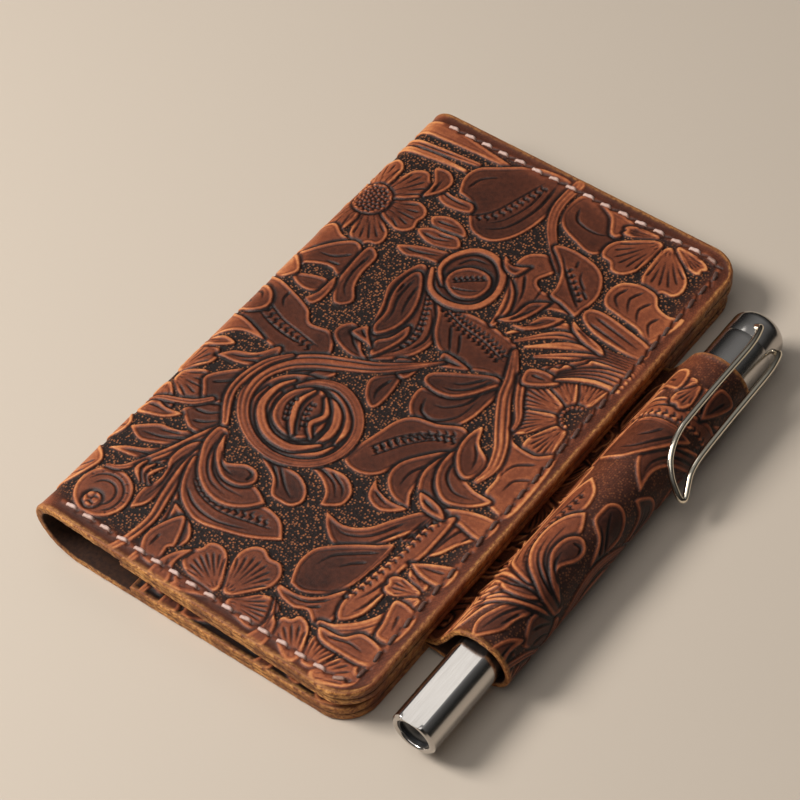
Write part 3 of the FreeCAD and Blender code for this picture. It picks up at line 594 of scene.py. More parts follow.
    # lobes right of the rose
    lobe([(39.5, 41.4), (43.6, 41), (48, 40.8), (51.6, 38.6), (53, 35.4), (51.4, 32.8), (48.4, 32.3),
          (45.4, 32.8), (42.6, 36.6),
          (37, 39.6)], 0.38, [[(42.5, 40), (46.5, 36.6), (50, 34.6)], [(40.5, 39.6), (43.8, 37.2),
                                                                       (46, 34.6)]])
    lobe([(45, 43.6), (51, 46.2), (56.6, 46.8), (60.4, 44.2), (61, 40.2), (58.2, 37.6), (56.4, 37),
          (56.4, 37), (55.2, 40.4),
          (51.4, 43), (46, 44)], 0.34, [[(50, 45.2), (55, 43.8), (58, 40.6)], [(53, 45.8), (57.6, 43.8),
                                                                               (59.4, 41)]])
    lobe([(43.2, 72.2), (44.6, 68.2), (47.8, 65.4), (49.8, 66.2), (50.2, 71), (49, 77), (46, 76)], 0.32,
         [[(47.6, 74.5), (46.8, 70.5), (47.8, 67.6)]])
    lobe([(31, 70.5), (27.6, 66.6), (26, 62), (27.4, 58.4), (27.4, 58.4), (31, 61), (33.2, 64.4),
          (36, 68.5)], 0.2,
         [[(31.5, 67.5), (29.2, 63.6), (28.4, 60.4)]])

    # small leaves and blades in the gaps
    for outline, flute in (
            ([(57, 103.5), (59.5, 107), (60.5, 112), (64.5, 115), (64.5, 115), (63.5, 110), (61, 105)],
             [(59.5, 105), (62.5, 111)]),
            ([(60.5, 104), (63.5, 106), (65.5, 110.5), (70.5, 113), (70.5, 113), (68.5, 108.5),
              (64.5, 104.5)], [(63, 105), (67, 109.5)]),
            ([(46.6, 121), (50.6, 119.6), (54, 121.4), (54, 121.4), (52.4, 117), (48.8, 117.6)],
             [(48, 120), (51.4, 119)]),
            ([(72.4, 113.6), (76.4, 112), (82, 110.8), (84, 108.8), (78, 109.4), (73.4, 111.4)],
             [(74.4, 112), (80, 110.4)]),
            ([(17.8, 125), (21, 128.6), (21.6, 133), (18.4, 135.6), (14.6, 134.4), (17.4, 130)],
             [(19, 127.6), (18.6, 132.4)]),
            ([(30.6, 80.8), (32.8, 84.4), (34.6, 82.4), (37.6, 79.6), (34.8, 80)],
             [(32.4, 82.6), (35, 81)]),
            ([(5, 38.6), (9, 38), (13.6, 38.6), (10.6, 35.2), (5, 33.4), (2, 34.4)], [(4, 36.8), (10, 37)]),
            ([(-3, 60), (2, 60.6), (6.4, 62.6), (10, 62), (6.6, 59), (1, 58), (-3, 57)],
             [(0, 59.6), (6, 61)]),
            ([(44.8, 80.6), (50, 82.6), (51, 79), (49.6, 76.4), (46.4, 77.6)], [(47, 80.4), (49.6, 79)]),
            ([(52.6, 88), (54, 84.4), (57.6, 85.4), (61, 87.4), (56, 88.4)], [(54.4, 86.6), (58.4, 87)]),
            ([(72, 95.6), (76.4, 97.4), (80.6, 96), (76.6, 92.4), (73, 91.4)], [(73.6, 94.6), (77.4, 95)]),
            ([(33.5, 17), (30, 12), (29.4, 7), (32.6, 3), (37, 3), (36, 8), (37, 9.8)],
             [(32, 10), (32, 6)]),
            ([(38, 8.4), (41, 11), (40, 6), (42, 1), (37, -1), (36.4, 4)], [(38.4, 6), (39, 2)]),
            ([(50.5, 47.4), (47.6, 45), (44, 42.6), (40.4, 41), (46, 47), (50.2, 50.6)],
             [(44, 43.6), (49, 47.6)]),
            ([(62.4, 50.2), (65, 48), (69, 47.2), (73.6, 47.4), (69, 43.6), (64, 45)],
             [(64.4, 47.4), (69, 45.6)]),
            ([(73, 53), (76, 49.6), (82, 49.8), (79, 52.4)], [(75, 51.6), (79, 50.6)]),
            ([(77, 12), (82.6, 12.8), (86, 16), (92, 15), (92, 10), (84, 9), (79, 9.4)],
             [(80, 11), (85, 12.4), (89, 12)]),
            ([(86.4, 27), (93, 26), (93, 18), (88.6, 17), (87.6, 20.6)], [(89.4, 24), (90.6, 20)]),
            ([(64, 12.6), (66.6, 9), (69, 6.6), (70, 1), (65, -1), (66.6, 6)], [(66.4, 9), (67.6, 4)])):
        lobe(outline, 0.24, [flute])
    for k in range(4):
        stem([(93, 106.4 - 1.5 * k), (87.5, 105.2 - 1.3 * k), (82.6, 102.4 - 1.1 * k),
              (79.2, 99.2 - 0.8 * k)], (0.7, 0.75, 0.7, 0.3), 0)
    for k in range(3):
        stem([(20.4 - 2.3 * k, 24.4 - 0.4 * k), (18.6 - 1.6 * k, 20.6), (20.6 - 1.2 * k, 19 - 0.4 * k)],
             (0.3, 0.8, 0.3), 0)
    stem([(16.4, 46), (13, 42.6), (7, 40), (2, 38.6)], (0.7, 0.9, 0.8, 0.4))

    # the rose: bud, crescents and the stem that rings it and runs off to the upper right
    ring = [(37 + 14.2 * math.cos(a), 54 + 11.8 * math.sin(a)) for a in np.linspace(0, 2 * math.pi,
                                                                                    19)[:-1]]
    lobe(ring, 0.25)
    for reach, start, end, half in ((11.6, 168, 352, 1.5), (8.6, 160, 330, 1.5), (11.0, -8, 118, 1.3),
                                    (8.3, -30, 84, 1.2),
                                    (6.2, 186, 300, 1.0)):
        turn = np.radians(np.linspace(start, end, 7))
        stem([(37 + reach * math.cos(a) * 1.06, 54.0 + reach * math.sin(a) * 0.98) for a in turn],
             (0.3, 0.9 * half, half, half, 0.8 * half, 0.2), 0)
    lobe([(31.4, 60.4), (29.6, 56), (31, 50.6), (35.6, 48), (40.8, 48.8), (43.4, 53), (42, 58.4),
          (38.4, 62), (34.6, 62.6)], 0.22)
    stem([(35, 61.8), (33.8, 57), (36, 52), (38.4, 49)], (0.4, 0.9, 0.9, 0.5), 0)
    stem([(38.4, 61.6), (41.6, 57.6), (40.2, 53.6), (42.8, 50.6)], (0.4, 0.8, 0.8, 0.4), 0)
    teeth([(36.4, 59.8), (36.6, 55.4), (39.4, 50.4)], 1.4, 1.3, 1)
    teeth([(32.4, 58.8), (32, 54.8), (34.2, 50.6)], 1.3, 1.3, 1)
    stem([(30.5, 60.8), (34, 64.3), (39.5, 65.9), (45.4, 63.9), (50, 59.4), (51.6, 53.4), (49.8, 47.4),
          (45, 43.2), (38.5, 41.4),
          (31.6, 42.6), (25.6, 46.4), (21.9, 52), (21.3, 58.4), (24.2, 64.4), (29.6, 68.9), (36.5, 72.4),
          (43, 75.8), (50, 81.5),
          (54.5, 86)],
         (0.5, 1.1, 1.3, 1.3, 1.3, 1.2, 1.2, 1.2, 1.3, 1.4, 1.6, 1.9, 2.1, 2.2, 2.2, 2.0, 1.6, 1.0, 0.4), 2)
    stem([(23.5, 42.5), (19.2, 49), (18.3, 55), (20, 62), (23.6, 67)], (0.9, 1.2, 1.3, 1.1, 0.6), 1)
    stem([(46, 50), (40.6, 45.6), (33.2, 46), (27.4, 51), (26.8, 57.4), (29, 61.5)],
         (0.5, 1.1, 1.2, 1.2, 1.0, 0.4), 0)

    r.matting()
    return r


def seam_walk(x_start, x_edge, corner=CORNER, inset=SEAM_INSET, height=HEIGHT):
    """Stitch centres and headings along the bottom, fore-edge and top, evenly spaced."""
    radius = corner - inset
    far = x_edge - inset
    straight = far - radius - x_start
    quarter = math.pi / 2 * radius
    side = height - 2 * (inset + radius)
    total = 2 * (straight + quarter) + side
    count = round(total / STITCH_PITCH)
    walk = []
    for k in range(count):
        along = total * (k + 0.5) / count
        top = along > total / 2
        run = total - along if top else along
        if run < straight:
            x, y, turn = x_start + run, inset, 0.0
        elif run < straight + quarter:
            turn = (run - straight) / radius
            x, y = far - radius + radius * math.sin(turn), inset + radius * (1 - math.cos(turn))
        else:
            x, y, turn = far, inset + radius + run - straight - quarter, math.pi / 2
        walk.append((x, height - y, -turn) if top else (x, y, turn))
    return walk, total / count


def pull_stitches(relief, walk, pitch):
    """Dent the leather along a seam: a slit at every stitch hole and a faint channel between."""
    for x, y, turn in walk:
        along = np.array([math.cos(turn), math.sin(turn)])
        centre = np.array([x, y])
        curve = np.array([centre - along * pitch / 2, centre + along * pitch / 2])
        place, gx, gy = relief.window(curve, 1.2)
        gap, _, _ = relief.distance(curve, gx, gy)
        flat = smooth(1 - gap / 1.1)
        relief.h[place] = relief.h[place] * (1 - flat) + (-0.30) * flat
        relief.ground[place] *= 1 - flat
        hole = centre + along * pitch / 2
        skew = np.array([along[0] * 0.94 - along[1] * 0.34, along[1] * 0.94 + along[0] * 0.34])
        slit = np.array([hole - skew * HOLE_HALF, hole + skew * HOLE_HALF])
        place, gx, gy = relief.window(slit, 1.0)
        gap, _, _ = relief.distance(slit, gx, gy)
        relief.h[place] -= 0.75 * smooth(1 - gap / 0.55)


# =============================================================== meshes

def mesh_piece(name, verts, faces, sharp=None, attributes=None, skin=None, smooth_shade=True):
    """A mesh object from points in millimetres, faces, sharp edges and point attributes."""
    mesh = bpy.data.meshes.new(name)
    mesh.from_pydata(to_row(verts).tolist(), [], faces)
    mesh.validate()
    mesh.polygons.foreach_set("use_smooth", [smooth_shade] * len(mesh.polygons))
    for key, values in (attributes or {}).items():
        layer = mesh.attributes.new(key, "FLOAT", "POINT")
        layer.data.foreach_set("value", np.asarray(values, np.float32))
    if skin is not None:
        layer = mesh.attributes.new("skin", "FLOAT_VECTOR", "POINT")
        layer.data.foreach_set("vector", np.asarray(skin, np.float32).ravel())
    if sharp is not None:
        ends = np.zeros(len(mesh.edges) * 2, np.int32)
        mesh.edges.foreach_get("vertices", ends)
        group = np.asarray(sharp)[ends.reshape(-1, 2)]
        hard = (group[:, 0] & group[:, 1]) > 0
        mesh.edges.foreach_set("use_edge_sharp", hard)
    piece = bpy.data.objects.new(name, mesh)
    bpy.context.scene.collection.objects.link(piece)
    return piece


def quads(index):
    """Faces of a grid of vertex numbers, rows first."""
    a, b = index[:-1, :-1], index[:-1, 1:]
    c, d = index[1:, 1:], index[1:, :-1]
    return np.stack([a, b, c, d], -1).reshape(-1, 4)


def columns_to_corner(start, end, radius, pitch, near=0.0):
    """Column stations between two ends, closer together where a corner turns."""
    parts = []
    if near:
        turn = np.linspace(0, math.pi / 2, max(int(near * 1.6 / pitch), 6))
        parts.append(start + near * (1 - np.cos(turn))[:-1])
    parts.append(np.linspace(start + near, end - radius, max(int((end - radius - start - near) / pitch),
                                                             2)))
    if radius:
        turn = np.linspace(0, math.pi / 2, max(int(radius * 1.6 / pitch), 6))
        parts.append(end - radius + radius * np.sin(turn)[1:])
    return np.concatenate(parts)


# The cut edge from face to back: how raw and golden it is, and its shade, darker towards the underside:
# partly burnish, partly painted shade in the gap between layers.
EDGE_RAW = (0.45, 0.75, 0.95, 1.0, 1.0, 0.95, 0.80, 0.45, 0.20)
EDGE_TONE = (0.65, 0.6, 0.6, 0.6, 0.55, 0.5, 0.4, 0.2, 0.1)


def leather(name, place, span, y_span, thickness, far="round", near="cap", corner=CORNER, pitch=0.3,
            height=None, tone=None, matted=None, rounding=0.75, flip=False, near_corner=0.0, thin=None):
    """A closed leather panel with a tooled face, rounded raw edges and a plain back.

    place turns (length along the skin, y, height above the face) into points. height and tone give the
    relief and its shade at a place on the skin. An end is round, a cut edge, or cap, a plain joint."""
    r = rounding
    s0, s1 = span
    a0 = s0 + (r if near == "round" else 0)
    a1 = s1 - (r if far == "round" else 0)
    c1 = max(corner - r, 0) if far == "round" else 0
    c0 = max(near_corner - r, 0) if near == "round" else 0
    s = columns_to_corner(a0, a1, c1, pitch, c0)
    y0, y1 = y_span[0] + r, y_span[1] - r
    pull = np.zeros_like(s)
    if c1:
        into = np.clip((s - (a1 - c1)) / c1, 0, 1)
        pull = c1 * (1 - np.sqrt(1 - into ** 2))
    if c0:
        into = np.clip((a0 + c0 - s) / c0, 0, 1)
        pull = np.maximum(pull, c0 * (1 - np.sqrt(1 - into ** 2)))
    rows, cols = int((y1 - y0) / pitch), len(s)
    v = np.linspace(0, 1, rows)[:, None]
    grid_s = np.tile(s, (rows, 1))
    grid_y = (y0 + pull) + (y1 - y0 - 2 * pull) * v
    edge = np.minimum(grid_y - y_span[0] - pull, y_span[1] - pull - grid_y)
    if far == "round":
        edge = np.minimum(edge, s1 - grid_s + 0 * grid_y)
    if near == "round":
        edge = np.minimum(edge, grid_s - s0)
    high = np.zeros_like(grid_s) if height is None else height(grid_s, grid_y)
    shade = np.full_like(grid_s, 0.5) if tone is None else tone(grid_s, grid_y)
    mat = np.zeros_like(grid_s) if matted is None else matted(grid_s, grid_y)
    high = high * smooth((edge - r + 0.15) / 1.6) - 0.05 * smooth((1.9 - edge) / 1.2)
    face = place(grid_s.ravel(), grid_y.ravel(), high.ravel())
    verts = [face]
    skin = [np.c_[grid_s.ravel(), grid_y.ravel(), 0 * grid_s.ravel()]]
    shades = [shade.ravel()]
    raw = [0.55 * smooth((r + 0.85 - edge.ravel()) / 0.9)]
    flesh = [np.zeros(face.shape[0])]
    mats = [mat.ravel()]
    index = np.arange(rows * cols).reshape(rows, cols)

    # the outline, as grid positions with the way out at each
    def side_way(sign):
        way = np.zeros((cols, 2))
        way[:, 1] = sign
        if c1:
            into = np.clip((s - (a1 - c1)) / c1, 0, 1)
            way[:, 0] = into
            way[:, 1] = sign * np.sqrt(1 - into ** 2)
        elif far == "round":
            way[-1] = (1, sign)
        if c0:
            into = np.clip((a0 + c0 - s) / c0, 0, 1)
            corner_zone = into > 0
            way[corner_zone, 0] = -into[corner_zone]
            way[corner_zone, 1] = sign * np.sqrt(1 - into[corner_zone] ** 2)
        elif near == "round":
            way[0] = (-1, sign)
        return way

    bottom = [(0, j) for j in range(cols)]
    top = [(rows - 1, j) for j in range(cols)][::-1]
    right = [(i, cols - 1) for i in range(1, rows - 1)]
    left = [(i, 0) for i in range(1, rows - 1)][::-1]
    chains = []
    b_way, t_way = side_way(-1.0), side_way(1.0)[::-1]
    r_way = np.tile((1.0, 0.0), (len(right), 1))
    l_way = np.tile((-1.0, 0.0), (len(left), 1))
    if far == "round" and near == "round":
        chains.append((bottom + right + top + left, np.vstack([b_way, r_way, t_way, l_way]), True))
    elif far == "round":
        chains.append((bottom + right + top, np.vstack([b_way, r_way, t_way]), False))
    else:
        chains.append((bottom, b_way, False))
        chains.append((top, t_way, False))

    under = 0.35
    turn = np.radians([22, 45, 67, 90])
    profile = [(r * math.sin(a), -r * (1 - math.cos(a))) for a in turn]
    profile += [(r, -r - (thickness - r - under) * k / 3) for k in (1, 2, 3)]
    profile += [(r - under * (1 - math.cos(a)), -thickness + under * (1 - math.sin(a)))
                for a in np.radians([45, 90])]
    faces = [quads(index)]
    polygons = []
    count = rows * cols
    rim = {}
    hard = [np.zeros(count, int)]
    ring_at = {}
    for where, way, closed in chains:
        where = np.array(where)
        ring = index[where[:, 0], where[:, 1]]
        base_s, base_y = grid_s[where[:, 0], where[:, 1]], grid_y[where[:, 0], where[:, 1]]
        base_h = high[where[:, 0], where[:, 1]]
        walk = np.concatenate([[0], np.cumsum(np.hypot(np.diff(base_s), np.diff(base_y)))])
        wobble = 0.05 * np.sin(0.83 * walk + 0.7) + 0.04 * np.sin(2.1 * walk) + 0.03 * np.sin(0.31 * walk)
        for step, (out, drop) in enumerate(profile):
            amount = out + wobble * min(out / r, 1) * (0.4 + 0.6 * (step > 2)) - 0.06 * (step in (4, 5))
            ss, yy = base_s + way[:, 0] * amount, base_y + way[:, 1] * amount
            depth = thickness if thin is None else thin(ss)
            dd = drop if thin is None else drop * depth / thickness
            hh = base_h * max(0, 1 - step / 3) + dd
            verts.append(place(ss, yy, hh))
            skin.append(np.c_[ss + 3.1, yy - drop, np.full(len(ss), drop)])
            shades.append(np.full(len(ss), EDGE_TONE[step]))
            mats.append(np.zeros(len(ss)))
            # the raw golden colour is cut back where the edge faces the fore-edge: painted shade on the side
            # away from the light
            raw.append(EDGE_RAW[step] * (1 - 0.55 * np.clip(way[:, 0], 0, 1) ** 2))
            flesh.append(np.full(len(ss), 1.0 if step == len(profile) - 1 else 0.0))
            new = np.arange(count, count + len(ss))
            count += len(ss)
            hard.append(np.full(len(ss), 4 if step == len(profile) - 1 else 0))
            two = np.stack([ring, new])
            if closed:
                two = np.c_[two, two[:, :1]]
            faces.append(quads(two)[:, ::-1])
            for k, at in enumerate(where.tolist()):
                ring_at.setdefault(tuple(at), []).append(int(new[k]))
            ring = new
    hard = np.concatenate(hard)
    last = {at: ids[-1] for at, ids in ring_at.items()}

    # the plain back, in strips, and the plain joints
    for j in range(cols - 1):
        strip = [last[(0, j)], last[(rows - 1, j)], last[(rows - 1, j + 1)], last[(0, j + 1)]]
        if j == 0 and near == "round":
            strip[1:1] = [last[(i, 0)] for i in range(1, rows - 1)]
        if j == cols - 2 and far == "round":
            strip[-1:-1] = [last[(i, cols - 1)] for i in range(rows - 2, 0, -1)]
        polygons.append(strip)
    for j, kind in ((0, near), (cols - 1, far)):
        if kind == "cap":
            low = ring_at[(0, j)]
            up = ring_at[(rows - 1, j)]
            loop = list(map(int, index[:, j])) + up + low[::-1]
            polygons.append(loop if j == 0 else loop[::-1])
            hard[loop] |= 8 << (j > 0)
    all_faces = [f for part in faces for f in part.tolist()] + polygons
    if flip:
        all_faces = [f[::-1] for f in all_faces]
    piece = mesh_piece(name, np.vstack(verts), all_faces, hard,
                       {"tone": np.concatenate(shades), "raw": np.concatenate(raw),
                        "flesh": np.concatenate(flesh),
                        "matting": np.concatenate(mats)},
                       np.vstack(skin))
    return piece


def front_place(s, y, out):
    """The front cover and the spine's upper bend. s is 0 where the bend meets the flat."""
    turn = TILT + np.minimum(s, 0) / UPPER_RADIUS
    flat = np.maximum(s, 0)
    x = UPPER_RADIUS + (UPPER_RADIUS + out) * np.sin(turn) + flat * math.cos(TILT)
    z = SPINE_Z + (UPPER_RADIUS + out) * np.cos(turn) - flat * math.sin(TILT)
    return np.c_[x, y, z]


def back_place(s, y, out):
    """The back cover and the spine's lower bend. s is 0 where the bend meets the flat."""
    turn = np.minimum(s, 0) / LOWER_RADIUS
    x = LOWER_RADIUS + (LOWER_RADIUS + out) * np.sin(turn) + np.maximum(s, 0)
    z = SPINE_Z - (LOWER_RADIUS + out) * np.cos(turn)
    return np.c_[x, y, z]


# =============================================================== materials

def shader(name):
    """A new material, its node tree and its Principled shader."""
    made = bpy.data.materials.new(name)
    made.use_nodes = True
    return made, made.node_tree, made.node_tree.nodes["Principled BSDF"]


def add(tree, kind, inputs=None, **settings):
    """A node with its settings and plain input values."""
    made = tree.nodes.new("ShaderNode" + kind)
    for key, value in settings.items():
        setattr(made, key, value)
    for key, value in (inputs or {}).items():
        if hasattr(value, "links"):
            tree.links.new(value, made.inputs[key])
        else:
            made.inputs[key].default_value = value
    return made


def math_node(tree, operation, a, b, clamp=False):
    """A math node's result. a and b are numbers or sockets."""
    made = tree.nodes.new("ShaderNodeMath")
    made.operation = operation
    made.use_clamp = clamp
    for socket, value in zip(made.inputs, (a, b)):
        if isinstance(value, (int, float)):
            socket.default_value = value
        else:
            tree.links.new(value, socket)
    return made.outputs[0]


def mixed(tree, share, a, b):
    """Colour a going to b by share. Each is a colour or a socket."""
    made = tree.nodes.new("ShaderNodeMix")
    made.data_type = "RGBA"
    for key, value in ((0, share), (6, a), (7, b)):
        if isinstance(value, (int, float)):
            made.inputs[key].default_value = value
        elif isinstance(value, tuple):
            made.inputs[key].default_value = (*value, 1)
        else:
            tree.links.new(value, made.inputs[key])
    return made.outputs[2]


def ramp(tree, share, stops):
    """Colours along share, from (place, colour) stops."""
    made = tree.nodes.new("ShaderNodeValToRGB")
    tree.links.new(share, made.inputs[0])
    bar = made.color_ramp
    bar.elements[0].position, bar.elements[0].color = stops[0][0], (*stops[0][1], 1)
    bar.elements[1].position, bar.elements[1].color = stops[-1][0], (*stops[-1][1], 1)
    for place, colour in stops[1:-1]:
        stop = bar.elements.new(place)
        stop.color = (*colour, 1)
    return made.outputs[0]


def noise(tree, where, scale, detail=2.0, rough=0.5):
    return add(tree, "TexNoise", {"Vector": where, "Scale": scale, "Detail": detail,
                                  "Roughness": rough}).outputs[0]


LEATHER_STOPS = (
    (0.00, (0.006, 0.0022, 0.0015)),
    (0.22, (0.028, 0.0085, 0.0050)),
    (0.45, (0.084, 0.022, 0.0100)),
    (0.66, (0.200, 0.052, 0.0215)),
    (0.85, (0.390, 0.118, 0.0430)),
    (1.00, (0.620, 0.250, 0.0900)),
)


def leather_material(name, lift=0.0, gloss=0.36):
    """Antiqued leather: dark in the recesses, rubbed on the high parts, golden at cut edges."""
    made, tree, bsdf = shader(name)
    where = add(tree, "Attribute", attribute_name="skin").outputs["Vector"]
    tone = add(tree, "Attribute", attribute_name="tone").outputs["Fac"]
    raw = add(tree, "Attribute", attribute_name="raw").outputs["Fac"]
    flesh = add(tree, "Attribute", attribute_name="flesh").outputs["Fac"]
    matting = add(tree, "Attribute", attribute_name="matting").outputs["Fac"]
    cloud = noise(tree, where, 0.075, 3.0, 0.55)
    mottle = noise(tree, where, 0.9, 4.0, 0.6)
    speck = noise(tree, where, 5.5, 2.0, 0.6)
    shade = math_node(tree, "ADD", tone, lift)
    for pattern, strength in ((cloud, 0.40), (mottle, 0.34), (speck, 0.24)):
        swing = math_node(tree, "MULTIPLY", math_node(tree, "SUBTRACT", pattern, 0.5), strength)
        shade = math_node(tree, "ADD", shade, swing)
    colour = ramp(tree, shade, LEATHER_STOPS)
    beads = add(tree, "TexVoronoi", {"Vector": where, "Scale": 1.45,
                                     "Randomness": 0.75}).outputs["Distance"]
    fleck = ramp(tree, math_node(tree, "ADD", math_node(tree, "MULTIPLY", beads, 1.5),
                                 math_node(tree, "MULTIPLY", mottle, 0.6)),
                 ((0.66, (0.26, 0.092, 0.035)), (0.90, (0.080, 0.028, 0.013)),
                  (1.14, (0.009, 0.004, 0.003))))
    colour = mixed(tree, matting, colour, fleck)
    cut = ramp(tree, math_node(tree, "ADD", math_node(tree, "MULTIPLY", mottle, 0.7),
                               math_node(tree, "MULTIPLY", speck, 0.4)),
               ((0.32, (0.030, 0.009, 0.004)), (0.47, (0.21, 0.066, 0.020)), (0.58, (0.62, 0.27, 0.072)),
                (0.72, (0.86, 0.47, 0.16))))
    burnish = ramp(tree, cloud, ((0.44, (0.0, 0.0, 0.0)), (0.60, (0.7, 0.7, 0.7))))
    cut = mixed(tree, burnish, cut, (0.15, 0.040, 0.014))
    colour = mixed(tree, raw, colour, cut)
    suede = ramp(tree, mottle, ((0.25, (0.012, 0.005, 0.003)), (0.75, (0.05, 0.020, 0.010))))
    colour = mixed(tree, flesh, colour, suede)
    tree.links.new(colour, bsdf.inputs["Base Color"])
    rough = math_node(tree, "ADD", gloss, math_node(tree, "MULTIPLY", mottle, 0.20))
    for pattern, strength in ((raw, 0.12), (flesh, 0.4), (matting, 0.22)):
        rough = math_node(tree, "ADD", rough, math_node(tree, "MULTIPLY", pattern, strength))
    tree.links.new(rough, bsdf.inputs["Roughness"])
    bsdf.inputs["Specular IOR Level"].default_value = 0.26
    pores = add(tree, "TexVoronoi", {"Vector": where, "Scale": 3.2}).outputs["Distance"]
    fine = noise(tree, where, 8.0, 3.0, 0.65)
    grain = math_node(tree, "ADD", math_node(tree, "MULTIPLY", pores, 0.5), fine)
    grain = math_node(tree, "SUBTRACT", grain, math_node(tree, "MULTIPLY", math_node(tree, "MULTIPLY",
                                                                                     beads, matting), 2.4))
    bump = add(tree, "Bump", {"Height": grain, "Strength": 0.55, "Distance": 0.00010})
    tree.links.new(bump.outputs[0], bsdf.inputs["Normal"])
    return made


def thread_material():
    """Waxed linen thread, pale pink, darkened by an attribute that holds both grime and painted shade."""
    made, tree, bsdf = shader("thread")
    dirt_and_shade = add(tree, "Attribute", attribute_name="dirt_and_shade").outputs["Fac"]
    where = add(tree, "Attribute", attribute_name="skin").outputs["Vector"]
    fibre = noise(tree, where, 3.0, 3.0, 0.7)
    soil_and_shade = math_node(tree, "ADD", dirt_and_shade, math_node(tree, "MULTIPLY", math_node(tree, "SUBTRACT", fibre,
                                                                                0.5), 0.5), True)
    colour = ramp(tree, soil_and_shade, ((0.0, (0.66, 0.47, 0.41)), (0.35, (0.42, 0.25, 0.19)),
                                 (0.75, (0.12, 0.045, 0.025)),
                                 (1.0, (0.035, 0.014, 0.009))))
    tree.links.new(colour, bsdf.inputs["Base Color"])
    bsdf.inputs["Roughness"].default_value = 0.55
    bsdf.inputs["Sheen Weight"].default_value = 0.2
    bump = add(tree, "Bump", {"Height": fibre, "Strength": 0.5, "Distance": 0.0001})
    tree.links.new(bump.outputs[0], bsdf.inputs["Normal"])
    return made


def metal_material(name, colour, rough, brushed=0.0, stretch=(1, 1, 1)):
    """Metal, with brushing as fine lines across the stretched direction."""
    made, tree, bsdf = shader(name)
    where = add(tree, "TexCoord").outputs["Object"]
    lines = add(tree, "Mapping", {"Vector": where, "Scale": stretch}).outputs[0]
    streak = noise(tree, lines, 1.0, 3.0, 0.6)
    smudge = noise(tree, where, 120.0, 3.0, 0.5)
    tint = mixed(tree, math_node(tree, "MULTIPLY", smudge, 0.2), colour, tuple(0.72 * c for c in colour))
    tree.links.new(tint, bsdf.inputs["Base Color"])
    bsdf.inputs["Metallic"].default_value = 1.0
    spread = math_node(tree, "ADD", rough, math_node(tree, "MULTIPLY", streak, 0.10 * (brushed > 0)))
    spread = math_node(tree, "ADD", spread, math_node(tree, "MULTIPLY", smudge, 0.02), True)
    tree.links.new(spread, bsdf.inputs["Roughness"])
    bump = add(tree, "Bump", {"Height": streak, "Strength": brushed, "Distance": 0.00002})
    tree.links.new(bump.outputs[0], bsdf.inputs["Normal"])
    return made


def plastic_material(name, colour, rough):
    made, tree, bsdf = shader(name)
    where = add(tree, "TexCoord").outputs["Object"]
    dust = noise(tree, where, 900.0, 3.0, 0.6)
    tint = mixed(tree, math_node(tree, "MULTIPLY", dust, 0.5), colour,
                 tuple(1.6 * c + 0.004 for c in colour))
    tree.links.new(tint, bsdf.inputs["Base Color"])
    bsdf.inputs["Roughness"].default_value = rough
    return made


# =============================================================== the leather pieces

tooled = tooling()
front_walk, front_pitch = seam_walk(FRONT_X, WIDTH)
back_walk, back_pitch = seam_walk(LOWER_RADIUS, BACK_WIDTH)
plain_tooling = tooled.h.copy()
plain_ground = tooled.ground.copy()
pull_stitches(tooled, front_walk, front_pitch)


def sample(relief, layer, x, y):
    """A layer of the relief at any place, mirrored past its spine side."""
    x = np.where(x < relief.x0, 2 * relief.x0 - x, x)
    u = np.clip((x - relief.x0) / STEP, 0, layer.shape[1] - 1.001)
    v = np.clip((y - relief.y0) / STEP, 0, layer.shape[0] - 1.001)
    i, j = v.astype(int), u.astype(int)
    fv, fu = v - i, u - j
    top = layer[i, j] * (1 - fu) + layer[i, j + 1] * fu
    low = layer[i + 1, j] * (1 - fu) + layer[i + 1, j + 1] * fu
    return top * (1 - fv) + low * fv


def tone_layer(h, ground):
    """Shade of the antique finish: rims rubbed bright, recesses dark."""
    lift = h - blurred(h, 0.8)
    lift = np.where(lift > 0, 1.5, 2.8) * lift
    broad = blurred(h, 0.4)
    tone = 0.68 + lift + 0.50 * broad / GROUND
    return np.clip(tone - 0.06 * ground, 0, 1)


tooled_tone = tone_layer(tooled.h, tooled.ground)


def rub(x, y):
    """How much more the wear has lightened a place on the front, and where oils have darkened it."""
    edge = np.minimum(np.minimum(y, HEIGHT - y), WIDTH - x)
    worn = 0.22 * np.exp(-edge / 7.0)
    right = 0.10 * smooth((x - 62) / 30)
    spine = 0.34 * np.exp(-((x - 1) / 5.0) ** 2)
    dark = -0.10 * np.exp(-(((x - 40) / 26) ** 2 + ((y - 88) / 34) ** 2))
    return worn + right + spine + dark - 0.02


def front_x(s):
    """Place across the pattern for a length along the front's skin."""
    return np.where(s > 0, FRONT_X + s * math.cos(TILT), FRONT_X + s)


def border(x, y, width=WIDTH):
    """0 at the worn margin outside the seam, 1 where the tooling is at full depth."""
    return smooth((np.minimum(np.minimum(y, HEIGHT - y), width - x) - 2.6) / 6.0)


def front_height(s, y):
    x = front_x(s)
    return sample(tooled, tooled.h, x, y) * (0.5 + 0.5 * border(x, y))


def front_matting(s, y):
    x = front_x(s)
    return sample(tooled, tooled.ground, x, y) * border(x, y)


def front_tone(s, y):
    x = front_x(s)
    inner = border(x, y)
    return (sample(tooled, tooled_tone, x, y) - 0.5) * (0.6 + 0.4 * inner) + 0.5 + rub(x, y)


cover_leather = leather_material("tooled_leather")

front = leather("cover_front_tooled", front_place, (-UPPER_ARC, FRONT_LENGTH), (0, HEIGHT), SHELL,
                height=front_height, tone=front_tone, matted=front_matting)
front.data.materials.append(cover_leather)
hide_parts("front_shell", "spine_shell")
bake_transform(front)

